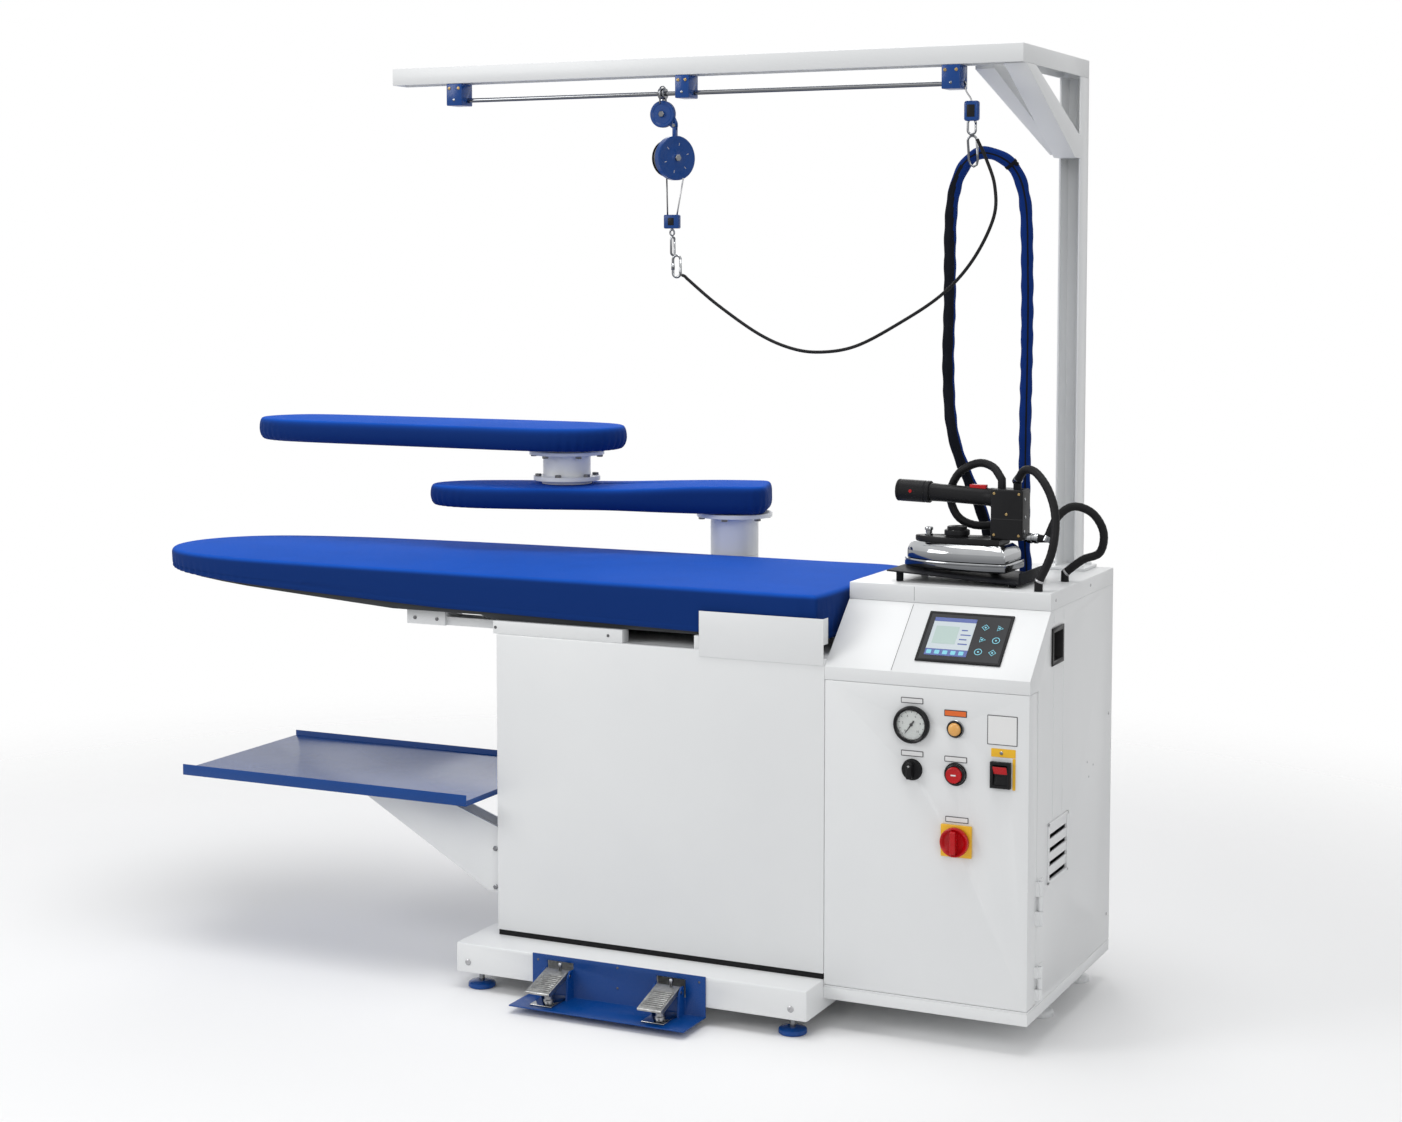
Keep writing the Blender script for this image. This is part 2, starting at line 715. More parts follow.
rail_low = BASE_TOP + GAP
part("pedestal_body", WHITE,
     shell((PEDESTAL_LEFT, PANEL_DEPTH + GAP, PEDESTAL_BOTTOM),
           (PEDESTAL_RIGHT, PEDESTAL_DEPTH, PEDESTAL_TOP), "front", SHEET),
     add=[block((PEDESTAL_LEFT + PLINTH_INSET, y, rail_low),
                (PEDESTAL_RIGHT - PLINTH_INSET, y + PLINTH_RAIL, PEDESTAL_BOTTOM + SINK))
          for y in (PANEL_DEPTH + PLINTH_INSET, PEDESTAL_DEPTH - PLINTH_INSET - PLINTH_RAIL)])
part("pedestal_front_panel", WHITE,
     shell((PEDESTAL_LEFT, 0.0, PEDESTAL_BOTTOM),
           (PEDESTAL_RIGHT, PANEL_DEPTH, PEDESTAL_TOP), "back", SHEET, corner=SHEET))

# Table: supports, plenum and cover.

RAIL_TOP = PEDESTAL_TOP + RAIL_HEIGHT
BUCK_SEAT = RAIL_TOP + GAP
NOSE_DROP = 0.0925
NOSE_SEAT = TABLE_TOP - NOSE_DROP       # underside of the plenum over the nose box
NOSE_SEAT_END = -1.500
NOSE_ARM_OVERLAP = 0.080
BUCK_WALL = 0.003
DUCT_RADIUS = 0.060
DUCT_X, DUCT_Y = -0.990, 0.250

CROSS_RAIL_RIGHT = CROSS_RAIL_LEFT + CROSS_RAIL_WIDTH
support_low = PEDESTAL_TOP + GAP
nose_box_top = NOSE_SEAT - GAP
nose_arm_front = NOSE_BOX_FRONT + NOSE_ARM_HEIGHT / 2
nose_support = fused(
    block((NOSE_BOX_LEFT, NOSE_BOX_FRONT, nose_box_top - NOSE_BOX_HEIGHT),
          (NOSE_BOX_LEFT + NOSE_BOX_LENGTH, NOSE_BOX_FRONT + NOSE_BOX_DEPTH, nose_box_top)),
    add=[block((NOSE_BOX_LEFT + NOSE_BOX_LENGTH - OVERRUN, nose_arm_front, support_low + SINK),
               (PEDESTAL_LEFT - NOSE_ARM_HEIGHT, nose_arm_front + NOSE_ARM_WIDTH,
                support_low + NOSE_ARM_HEIGHT)),
         block((PEDESTAL_LEFT - NOSE_ARM_HEIGHT - SINK, nose_arm_front, support_low),
               (PEDESTAL_LEFT + NOSE_ARM_OVERLAP, nose_arm_front + NOSE_ARM_WIDTH,
                support_low + NOSE_ARM_HEIGHT))])
rail_back = PEDESTAL_DEPTH - RAIL_SETBACK
part("table_subframe", WHITE,
     block((FRONT_RAIL_LEFT, RAIL_SETBACK, support_low),
           (FRONT_RAIL_RIGHT, RAIL_SETBACK + RAIL_WIDTH, RAIL_TOP)),
     add=[block((FRONT_RAIL_LEFT, rail_back - RAIL_WIDTH, support_low),
                (CROSS_RAIL_RIGHT, rail_back, RAIL_TOP)),
          block((FRONT_RAIL_LEFT, RAIL_SETBACK, support_low),
                (FRONT_RAIL_LEFT + CROSS_RAIL_WIDTH, rail_back, RAIL_TOP)),
          block((CROSS_RAIL_LEFT, RAIL_SETBACK, support_low),
                (CROSS_RAIL_RIGHT, rail_back, RAIL_TOP)), nose_support])

# Shares of the table's length from its right end, and of its depth from its front.
TABLE_OUTLINE_SHARES = (
    (0.000, 0.060), (0.000, 0.500), (0.000, 0.880), (0.025, 1.000), (0.120, 1.000),
    (0.250, 1.000), (0.420, 0.996), (0.584, 0.980), (0.720, 0.950), (0.824, 0.908),
    (0.919, 0.820), (0.975, 0.677), (1.000, 0.479), (0.986, 0.264), (0.930, 0.102),
    (0.835, 0.020), (0.720, 0.004), (0.584, 0.000), (0.420, 0.000), (0.250, 0.000),
    (0.120, 0.000), (0.020, 0.000))
TABLE_POINTS = 56


def closed_curve(places, count):
    """Evenly spaced points along a smooth closed curve through the places."""
    places = [Vector((x, y, 0.0)) for x, y in places]
    fine, n = [], len(places)
    for i in range(n):
        a, b, c, d = (places[(i + k) % n] for k in (-1, 0, 1, 2))
        for step in range(24):
            t = step / 24
            fine.append(0.5 * ((2 * b) + (c - a) * t + (2 * a - 5 * b + 4 * c - d) * t * t
                               + (3 * b - a - 3 * c + d) * t ** 3))
    fine.append(fine[0])
    length = sum((b - a).length for a, b in zip(fine, fine[1:]))
    return [Vector(p) for p in evenly(fine, length / count)[:-1]][:count]


def inset(outline, distance):
    """The outline drawn inwards; distance is one number or one for each point."""
    n = len(outline)
    area = sum(outline[i].x * outline[(i + 1) % n].y - outline[(i + 1) % n].x * outline[i].y
               for i in range(n))
    sign = 1 if area > 0 else -1
    result = []
    for i, here in enumerate(outline):
        along = (outline[(i + 1) % n] - outline[i - 1]).normalized()
        inward = Vector((-along.y, along.x, 0.0)) * sign
        reach = distance[i] if isinstance(distance, list) else distance
        result.append(here + inward * reach)
    return result


def towards(outline, spine, share):
    """The outline moved towards a centre line, by a share of the way."""
    start, end = (Vector((*place, 0.0)) for place in spine)
    along = end - start
    result = []
    for here in outline:
        t = min(1.0, max(0.0, (here - start).dot(along) / along.length_squared))
        result.append(here.lerp(start + along * t, share))
    return result


def at_height(outline, height):
    if callable(height):
        return [Vector((p.x, p.y, height(p))) for p in outline]
    return [Vector((p.x, p.y, height)) for p in outline]


TABLE_LENGTH = TABLE_RIGHT - TABLE_TIP
TABLE_DEPTH = TABLE_REAR - TABLE_FRONT
table_outline = closed_curve([(TABLE_RIGHT - across * TABLE_LENGTH, TABLE_FRONT + back * TABLE_DEPTH)
                              for across, back in TABLE_OUTLINE_SHARES], TABLE_POINTS)
PLEAT_DEPTH = 0.004
PLEATS = 9
HEM_DRAW = 0.004
SPINE_INSET = 0.280


def hem_height(place):
    """The cover's lower edge: level by the cabinet, rising towards the tip."""
    if place.x > HEM_MIDDLE_X:
        share = (TABLE_RIGHT - place.x) / (TABLE_RIGHT - HEM_MIDDLE_X)
        return HEM_RIGHT + share * (HEM_MIDDLE - HEM_RIGHT)
    share = (HEM_MIDDLE_X - place.x) / (HEM_MIDDLE_X - TABLE_TIP)
    return HEM_MIDDLE + share * (HEM_TIP - HEM_MIDDLE)


def pleat(place):
    """Gathers of the hem round the tip."""
    middle = TABLE_FRONT + TABLE_DEPTH / 2
    turn = math.atan2(place.y - middle, place.x - (TABLE_TIP + SPINE_INSET))
    amount = min(1.0, max(0.0, (HEM_MIDDLE_X - place.x) / (HEM_MIDDLE_X - TABLE_TIP)))
    return HEM_DRAW + PLEAT_DEPTH * amount * (0.5 + 0.5 * math.sin(2 * PLEATS * turn))


def side_height(place):
    return (hem_height(place) + TABLE_TOP - TABLE_ROLL) / 2


table_spine = ((TABLE_RIGHT - SPINE_INSET, TABLE_FRONT + TABLE_DEPTH / 2),
               (TABLE_TIP + SPINE_INSET, TABLE_FRONT + TABLE_DEPTH / 2))
SWELL = 0.0015
hem = [pleat(place) for place in table_outline]
rolled = TABLE_ROLL * (1 - math.sin(math.pi / 4))
part("table_cover", BLUE_CLOTH, lofted([
    at_height(inset(table_outline, COVER_THICKNESS + HEM_DRAW), TABLE_TOP - COVER_THICKNESS),
    at_height(inset(table_outline, COVER_THICKNESS + HEM_DRAW), side_height),
    at_height(inset(table_outline, COVER_THICKNESS + HEM_DRAW),
              lambda p: hem_height(p) + HEM_DRAW),
    at_height(inset(table_outline, hem), hem_height),
    at_height(inset(table_outline, SWELL), side_height),
    at_height(inset(table_outline, SWELL), TABLE_TOP - TABLE_ROLL),
    at_height(inset(table_outline, SWELL + rolled), TABLE_TOP - rolled),
    at_height(inset(table_outline, SWELL + TABLE_ROLL), TABLE_TOP),
    at_height(towards(table_outline, table_spine, 0.30), TABLE_TOP + 0.7 * TABLE_CROWN),
    at_height(towards(table_outline, table_spine, 0.65), TABLE_TOP + TABLE_CROWN)]))

buck_outline = inset(table_outline, COVER_THICKNESS + HEM_DRAW + GAP)
buck_top = TABLE_TOP - COVER_THICKNESS - GAP


def under_profile(lift):
    """What lies under the plenum, seen from the front."""
    low, out = BUCK_SEAT - OVERRUN, TABLE_TIP - OVERRUN
    return [(TABLE_RIGHT + OVERRUN, low - lift - OVERRUN), (TABLE_RIGHT + OVERRUN, BUCK_SEAT + lift),
            (BUCK_RISE_X, BUCK_SEAT + lift), (BUCK_RISE_X - RAIL_WIDTH, NOSE_SEAT + lift),
            (NOSE_SEAT_END, NOSE_SEAT + lift), (out, BUCK_TIP_BOTTOM + lift),
            (out, low - lift - OVERRUN)]


def flat(outline):
    return [(place.x, place.y) for place in outline]


cavity = fused(extruded("plan", flat(inset(buck_outline, BUCK_WALL)),
                        BUCK_SEAT, buck_top - BUCK_WALL),
               cut=[extruded("front", under_profile(BUCK_WALL), TABLE_FRONT - OVERRUN,
                             TABLE_REAR + OVERRUN)])
part("table_buck", STEEL,
     extruded("plan", flat(buck_outline), BUCK_SEAT - SINK, buck_top),
     cut=[extruded("front", under_profile(0.0), TABLE_FRONT - OVERRUN, TABLE_REAR + OVERRUN),
          cavity,
          cylinder((DUCT_X, DUCT_Y, BUCK_SEAT - OVERRUN),
                   (DUCT_X, DUCT_Y, BUCK_SEAT + BUCK_WALL + OVERRUN), DUCT_RADIUS)])

guard_front = -GAP - SHEET
part("guard_plate", WHITE,
     extruded("plan", [(GUARD_LEFT, guard_front), (GUARD_RIGHT, guard_front),
                       (GUARD_RIGHT, GUARD_RETURN), (GUARD_RIGHT - SHEET, GUARD_RETURN),
                       (GUARD_RIGHT - SHEET, -GAP), (GUARD_LEFT, -GAP)],
              GUARD_BOTTOM, GUARD_TOP),
     cut=[block((GUARD_RIGHT - GUARD_RETURN, -GAP, GUARD_BOTTOM - OVERRUN),
                (GUARD_RIGHT + OVERRUN, GUARD_RETURN + OVERRUN, RAIL_TOP))])

# Shelf and its bracket.

shelf_low = SHELF_TOP - SHELF_DROP
part("shelf_tray", BLUE_PAINT,
     extruded("side", [
         (SHELF_FRONT, shelf_low), (SHELF_FRONT, SHELF_TOP + SHELF_LIP),
         (SHELF_FRONT + SHELF_SHEET, SHELF_TOP + SHELF_LIP),
         (SHELF_FRONT + SHELF_SHEET, SHELF_TOP), (SHELF_REAR - SHELF_SHEET, SHELF_TOP),
         (SHELF_REAR - SHELF_SHEET, SHELF_TOP + SHELF_LIP),
         (SHELF_REAR, SHELF_TOP + SHELF_LIP), (SHELF_REAR, shelf_low),
         (SHELF_REAR - SHELF_SHEET, shelf_low),
         (SHELF_REAR - SHELF_SHEET, SHELF_TOP - SHELF_SHEET),
         (SHELF_FRONT + SHELF_SHEET, SHELF_TOP - SHELF_SHEET),
         (SHELF_FRONT + SHELF_SHEET, shelf_low)], SHELF_LEFT, SHELF_RIGHT),
     add=[block((SHELF_LEFT, SHELF_FRONT + SINK, shelf_low),
                (SHELF_LEFT + SHELF_SHEET, SHELF_REAR - SINK, SHELF_TOP - SINK)),
          block((SHELF_RIGHT - SHELF_SHEET, SHELF_FRONT + SINK, shelf_low),
                (SHELF_RIGHT, SHELF_REAR - SINK, SHELF_TOP - SINK))])

bracket_top = SHELF_TOP - SHELF_SHEET - GAP
bracket_low = bracket_top - BRACKET_SHEET
wall_x = PEDESTAL_LEFT - GAP
BRACKET_PLATE_REAR = 0.280
BRACKET_NECK = 0.040
gusset = [(BRACKET_REACH + BRACKET_FLANGE, bracket_top - SINK),
          (BRACKET_PLATE_RIGHT, bracket_top - SINK), (wall_x - SINK, BRACKET_WALL_TOP),
          (wall_x - SINK, BRACKET_WALL_BOTTOM), (wall_x - BRACKET_FLANGE, BRACKET_WALL_BOTTOM),
          (BRACKET_REACH + BRACKET_FLANGE, bracket_top - BRACKET_NECK)]
bracket_back = BRACKET_FRONT + BRACKET_WIDTH
part("shelf_bracket", WHITE,
     block((BRACKET_REACH, BRACKET_FRONT, bracket_low),
           (BRACKET_PLATE_RIGHT, BRACKET_PLATE_REAR, bracket_top)),
     add=[extruded("front", gusset, BRACKET_FRONT, BRACKET_FRONT + BRACKET_SHEET),
          extruded("front", gusset, bracket_back - BRACKET_SHEET, bracket_back),
          block((wall_x - BRACKET_SHEET, BRACKET_FRONT, BRACKET_WALL_BOTTOM),
                (wall_x, bracket_back + BRACKET_FLANGE, BRACKET_WALL_TOP))])

# Cabinet: shell, lid, console and boiler.

door_clear = DOOR_RETURN + GAP
sheet_clear = CONSOLE_SHEET + GAP
slope = Vector((0.0, CONSOLE_DEPTH, CABINET_TOP - CONSOLE_FOOT)).normalized()
slope_out = Vector((0.0, -slope.z, slope.y))
lip_low = DOOR_TOP + DOOR_MARGIN
door_low = DOOR_BOTTOM - DOOR_MARGIN


def on_slope(up, out):
    """(y, z) of a point on the console: up the slope from its foot, and out of it."""
    place = Vector((0.0, 0.0, CONSOLE_FOOT)) + slope * up + slope_out * out
    return place.y, place.z


slope_length = math.hypot(CONSOLE_DEPTH, CABINET_TOP - CONSOLE_FOOT)
inner_foot_z = CONSOLE_FOOT + sheet_clear * math.tan(math.atan2(slope.z, slope.y) / 2) * -1
under_top = CABINET_TOP - CONSOLE_SHEET - GAP
cut_back = (under_top - on_slope(0.0, -sheet_clear)[1]) / slope.z
cabinet_profile = [
    (0.0, CABINET_BOTTOM), (0.0, door_low), (door_clear, door_low), (door_clear, lip_low),
    (sheet_clear, lip_low), (sheet_clear, inner_foot_z), on_slope(cut_back, -sheet_clear),
    (CONSOLE_DEPTH + PANEL_DEPTH + GAP, under_top), (CONSOLE_DEPTH + PANEL_DEPTH + GAP, CABINET_TOP),
    (CABINET_DEPTH, CABINET_TOP), (CABINET_DEPTH, CABINET_BOTTOM)]
cabinet_floor = CABINET_BOTTOM + CABINET_WALL
hollow_profile = [
    (CABINET_WALL, cabinet_floor), (CABINET_WALL, door_low + OVERRUN),
    (-OVERRUN, door_low + OVERRUN), (-OVERRUN, CABINET_TOP + OVERRUN),
    (CABINET_DEPTH - CABINET_WALL, CABINET_TOP + OVERRUN),
    (CABINET_DEPTH - CABINET_WALL, cabinet_floor)]
louvre_pitch = (LOUVRE_TOP - LOUVRE_BOTTOM) / LOUVRE_SLOTS
seam_low = PLINTH_SEAM - SEAM
hinge_axis = Vector((HINGE_OUT, HINGE_BACK, 0.0))
HINGE_PIN = 0.0024
LEAF_FRONT_GAP = 0.0005
leaf_front = HINGE_BACK + LEAF_FRONT_GAP


def knuckle_cuts(low, high):
    """Heights where a hinge's three knuckles part."""
    third = (high - low) / 3
    return low, low + third, high - third, high


def fixed_hinge(low, high):
    """Leaf, middle knuckle and pin on the cabinet's side."""
    bottom, first, second, top = knuckle_cuts(low, high)
    at = lambda z: hinge_axis + Vector((0.0, 0.0, z))
    leaf = block((-SINK, leaf_front + KNUCKLE_RADIUS, bottom),
                 (LEAF_SHEET, leaf_front + KNUCKLE_RADIUS + LEAF_LENGTH, top))
    return fused(leaf, add=[
        block((-SINK, HINGE_BACK, first + GAP),
              (HINGE_OUT, leaf_front + KNUCKLE_RADIUS + LEAF_SHEET, second - GAP)),
        cylinder(at(first + GAP), at(second - GAP), KNUCKLE_RADIUS, ROUND_SIDES),
        cylinder(at(bottom + SHEET), at(top - SHEET), HINGE_PIN, ROUND_SIDES)])


def door_hinge(low, high):
    """Outer knuckles on the door, bored for the pin."""
    bottom, first, second, top = knuckle_cuts(low, high)
    at = lambda z: hinge_axis + Vector((0.0, 0.0, z))
    made = []
    for start, end in ((bottom, first - GAP), (second + GAP, top)):
        made.append(block((-DOOR_MARGIN - SINK, DOOR_RETURN - KNUCKLE_RADIUS, start),
                          (HINGE_OUT, DOOR_RETURN - SINK, end)))
        made.append(block((HINGE_OUT - KNUCKLE_RADIUS, DOOR_RETURN - KNUCKLE_RADIUS, start),
                          (HINGE_OUT, HINGE_BACK, end)))
        made.append(cylinder(at(start), at(end), KNUCKLE_RADIUS, ROUND_SIDES))
    bore = cylinder(at(bottom - OVERRUN), at(top + OVERRUN), HINGE_PIN + RUNNING_GAP,
                    ROUND_SIDES)
    return made, bore


hinges = ((HINGE_LOWER_BOTTOM, HINGE_LOWER_TOP), (HINGE_UPPER_BOTTOM, HINGE_UPPER_TOP))


def short_foot(x, y, seat):
    """A foot as above, welded to the floor of the cabinet by its stem."""
    return turned([(0.0, seat + SINK), (NUT_RADIUS, seat + SINK),
                   (NUT_RADIUS, seat - NUT_HEIGHT), (STEM_RADIUS, seat - NUT_HEIGHT),
                   (STEM_RADIUS, FOOT_HEIGHT + FOOT_EDGE), (FOOT_RADIUS - FOOT_EDGE, FOOT_HEIGHT),
                   (FOOT_RADIUS, FOOT_HEIGHT - FOOT_EDGE), (FOOT_RADIUS, 0.0), (0.0, 0.0)],
                  (x, y, 0.0), steps=ROUND_SIDES)


cup_front, cup_rear = HANDLE_FRONT + HANDLE_FRAME, HANDLE_REAR - HANDLE_FRAME
cup_low, cup_high = HANDLE_BOTTOM + HANDLE_FRAME, HANDLE_TOP - HANDLE_FRAME
part("cabinet_shell", WHITE,
     extruded("side", cabinet_profile, -CABINET_WIDTH, 0.0),
     add=[fixed_hinge(*heights) for heights in hinges]
     + [short_foot(x, y, CABINET_BOTTOM) for x, y in cabinet_feet],
     cut=[extruded("side", hollow_profile, -CABINET_WIDTH + CABINET_WALL, -CABINET_WALL)]
     + [block((-CABINET_WALL - OVERRUN, LOUVRE_FRONT, LOUVRE_BOTTOM + i * louvre_pitch),
              (OVERRUN, LOUVRE_REAR, LOUVRE_BOTTOM + i * louvre_pitch + LOUVRE_SLOT))
        for i in range(LOUVRE_SLOTS)]
     + [block((-CABINET_WALL - OVERRUN, cup_front - GAP, cup_low - GAP),
              (OVERRUN, cup_rear + GAP, cup_high + GAP)),
        block((-CABINET_WIDTH - OVERRUN, -OVERRUN, seam_low),
              (-CABINET_WIDTH + SINK, CABINET_DEPTH + OVERRUN, PLINTH_SEAM)),
        block((-SINK, -OVERRUN, seam_low), (OVERRUN, CABINET_DEPTH + OVERRUN, PLINTH_SEAM)),
        block((-CABINET_WIDTH - OVERRUN, -OVERRUN, seam_low),
              (OVERRUN, SINK, PLINTH_SEAM))])

lip_bend_z = CONSOLE_FOOT - CONSOLE_SHEET * math.tan(math.atan2(slope.z, slope.y) / 2)
top_up = (CABINET_TOP - GAP - CONSOLE_FOOT) / slope.z
inner_up = (CABINET_TOP - GAP - CONSOLE_SHEET - on_slope(0.0, -CONSOLE_SHEET)[1]) / slope.z
part("console_panel", WHITE,
     extruded("side", [
         (0.0, lip_low), (0.0, CONSOLE_FOOT), on_slope(top_up, 0.0),
         (CONSOLE_DEPTH + PANEL_DEPTH, CABINET_TOP - GAP),
         (CONSOLE_DEPTH + PANEL_DEPTH, CABINET_TOP - GAP - CONSOLE_SHEET),
         on_slope(inner_up, -CONSOLE_SHEET), (CONSOLE_SHEET, lip_bend_z),
         (CONSOLE_SHEET, lip_low)], -CABINET_WIDTH, 0.0),
     cut=[moved_by(block((CONSOLE_JOINT_X - SINK / 2, 0.0, -SINK),
                         (CONSOLE_JOINT_X + SINK / 2, slope_length + OVERRUN, OVERRUN)),
                   Matrix.Translation((0.0, 0.0, CONSOLE_FOOT))
                   @ Matrix.Rotation(math.atan2(slope.z, slope.y), 4, "X"))])

part("cabinet_lid", WHITE,
     shell((-CABINET_WIDTH, CONSOLE_DEPTH, CABINET_TOP + GAP), (0.0, CABINET_DEPTH + LID_OVERHANG,
                                                                LID_TOP),
           "below", SHEET, corner=SHEET))

boiler_y = (door_clear + CABINET_DEPTH) / 2
boiler_x = -CABINET_WIDTH / 2
half_boiler = BOILER_LENGTH / 2
DOME_SHARES = ((0.00, 1.00), (0.50, 0.90), (0.85, 0.60), (1.00, 0.00))


def tank_body(radius, half, steps):
    """A drum with dished ends, along Y."""
    dome = [(radius * out, half - BOILER_DOME + BOILER_DOME * up) for out, up in DOME_SHARES]
    return turned(dome + [(out, -up) for out, up in reversed(dome)],
                  (boiler_x, boiler_y, BOILER_Z), axis=(0, 1, 0), steps=steps)


cradle_low = cabinet_floor + GAP
part("boiler_tank", STEEL, tank_body(BOILER_RADIUS, half_boiler, ROUND_SIDES),
     add=[block((boiler_x - BOILER_RADIUS * side, y - BOILER_CRADLE / 2, cradle_low),
                (boiler_x + BOILER_RADIUS * side, y + BOILER_CRADLE / 2, BOILER_Z - BOILER_RADIUS / 2))
          for side in (0.7,) for y in (boiler_y - half_boiler / 2, boiler_y + half_boiler / 2)],
     cut=[tank_body(BOILER_RADIUS - BOILER_WALL, half_boiler - BOILER_WALL, ROUND_SIDES),
          cylinder((boiler_x, boiler_y, BOILER_Z), (boiler_x, boiler_y, BOILER_Z + BOILER_RADIUS
                                                    + OVERRUN), BOILER_NECK, ROUND_SIDES)])

bezel_turn = Matrix.Translation((0.0, 0.0, CONSOLE_FOOT)) @ Matrix.Rotation(
    math.atan2(slope.z, slope.y), 4, "X")
part("display_bezel", BLACK,
     baked(bevel(moved_by(block((BEZEL_LEFT, BEZEL_LOW, GAP), (BEZEL_RIGHT, BEZEL_HIGH,
                                                               BEZEL_THICKNESS)), bezel_turn),
                 BEZEL_THICKNESS / 4)),
     cut=[moved_by(block((BEZEL_LEFT + BEZEL_RIM, BEZEL_LOW + BEZEL_RIM,
                          BEZEL_THICKNESS - SINK),
                         (BEZEL_RIGHT - BEZEL_RIM, BEZEL_HIGH - BEZEL_RIM,
                          BEZEL_THICKNESS + OVERRUN)), bezel_turn)])

part("side_handle", BLACK,
     baked(bevel(block((GAP, HANDLE_FRONT, HANDLE_BOTTOM), (HANDLE_LIP, HANDLE_REAR, HANDLE_TOP)),
                 SINK)),
     add=[block((-HANDLE_DEPTH, cup_front, cup_low), (GAP + SINK, cup_rear, cup_high))],
     cut=[block((-HANDLE_DEPTH + SHEET, cup_front + SHEET, cup_low + SHEET),
                (HANDLE_LIP + OVERRUN, cup_rear - SHEET, cup_high - SHEET))])

# Door and what it carries.

shank_bore = SPIGOT_RADIUS + RUNNING_GAP


def door_hole(x, z, radius):
    return cylinder((x, -OVERRUN, z), (x, DOOR_SHEET + OVERRUN, z), radius, ROUND_SIDES)


shanks = ((GAUGE_X, GAUGE_Z), (AMBER_X, AMBER_Z), (KNOB_X, KNOB_Z), (RED_X, RED_Z),
          (MAIN_X, MAIN_Z))
rocker_x = (ROCKER_LEFT + ROCKER_RIGHT) / 2
rocker_z = (ROCKER_BOTTOM + ROCKER_TOP) / 2
ROCKER_BODY_SHARE = 0.85
rocker_half = (ROCKER_RIGHT - ROCKER_LEFT) / 2
rocker_tall = (ROCKER_TOP - ROCKER_BOTTOM) / 2
body_half, body_tall = rocker_half * ROCKER_BODY_SHARE, rocker_tall * ROCKER_BODY_SHARE
knuckles, bores = [], []
for heights in hinges:
    made, bore = door_hinge(*heights)
    knuckles += made
    bores.append(bore)
door_turn = hinge_axis + Vector((0.0, 0.0, DOOR_BOTTOM))
part("cabinet_door", WHITE,
     shell((-CABINET_WIDTH + DOOR_MARGIN, 0.0, DOOR_BOTTOM),
           (-DOOR_MARGIN, DOOR_RETURN, DOOR_TOP), "back", DOOR_SHEET, corner=SHEET),
     add=knuckles,
     cut=bores + [door_hole(x, z, shank_bore) for x, z in shanks]
     + [block((rocker_x - body_half - GAP, -OVERRUN, rocker_z - body_tall - GAP),
              (rocker_x + body_half + GAP, DOOR_SHEET + OVERRUN, rocker_z + body_tall + GAP))],
     origin=door_turn)

part("gauge_case", BLACK,
     turned([(0.0, GAUGE_DEPTH - GAUGE_DISH), (GAUGE_RADIUS - GAUGE_RIM, GAUGE_DEPTH - GAUGE_DISH),
             (GAUGE_RADIUS - GAUGE_RIM, GAUGE_DEPTH - SINK), (GAUGE_RADIUS - GAUGE_RIM / 2, GAUGE_DEPTH),
             (GAUGE_RADIUS, GAUGE_DEPTH - SHEET), (GAUGE_RADIUS, GAP), (SPIGOT_RADIUS, GAP),
             (SPIGOT_RADIUS, -SHANK_LENGTH), (0.0, -SHANK_LENGTH)],
            (GAUGE_X, 0.0, GAUGE_Z), axis=(0, -1, 0), steps=24),
     cut=[cylinder((GAUGE_X, -GAUGE_DEPTH, GAUGE_Z), (GAUGE_X, -GAUGE_DEPTH + GAUGE_DISH + NEEDLE_HUB,
                                                      GAUGE_Z),
                   NEEDLE_THICKNESS + RUNNING_GAP, ROUND_SIDES)])
NEEDLE_REST = math.radians(-126.0)
needle_y = -(GAUGE_DEPTH - GAUGE_DISH) - NEEDLE_LIFT
needle = fused(
    extruded("front", [(GAUGE_X - NEEDLE_WIDTH, GAUGE_Z - NEEDLE_TAIL),
                       (GAUGE_X - NEEDLE_WIDTH / 4, GAUGE_Z + NEEDLE_LENGTH),
                       (GAUGE_X + NEEDLE_WIDTH / 4, GAUGE_Z + NEEDLE_LENGTH),
                       (GAUGE_X + NEEDLE_WIDTH, GAUGE_Z - NEEDLE_TAIL)],
             needle_y - NEEDLE_THICKNESS, needle_y),
    add=[cylinder((GAUGE_X, needle_y - NEEDLE_THICKNESS - SINK / 2, GAUGE_Z),
                  (GAUGE_X, needle_y + GAP, GAUGE_Z), NEEDLE_HUB, ROUND_SIDES),
         cylinder((GAUGE_X, needle_y - SINK, GAUGE_Z),
                  (GAUGE_X, needle_y + NEEDLE_LIFT + NEEDLE_HUB - GAP, GAUGE_Z),
                  NEEDLE_THICKNESS, ROUND_SIDES)])
gauge_centre = Vector((GAUGE_X, 0.0, GAUGE_Z))
part("gauge_needle", BLACK,
     moved_by(needle, Matrix.Translation(gauge_centre) @ Matrix.Rotation(NEEDLE_REST, 4, "Y")
              @ Matrix.Translation(-gauge_centre)), origin=gauge_centre)


def push_button(x, z, radius, depth, look, name):
    """A domed cap on a shank that runs through the door."""
    part(name, look,
         turned([(0.0, depth), (radius * 0.6, depth - SINK / 2), (radius * 0.9, depth - SINK),
                 (radius, depth - SHEET), (radius, BUTTON_TRAVEL + SINK),
                 (SPIGOT_RADIUS, BUTTON_TRAVEL + SINK), (SPIGOT_RADIUS, -SHANK_LENGTH),
                 (0.0, -SHANK_LENGTH)], (x, 0.0, z), axis=(0, -1, 0)),
         origin=(x, 0.0, z))


push_button(AMBER_X, AMBER_Z, AMBER_RADIUS, AMBER_DEPTH, AMBER, "amber_button")
push_button(RED_X, RED_Z, RED_RADIUS - BUTTON_RING, RED_DEPTH, RED, "red_button")

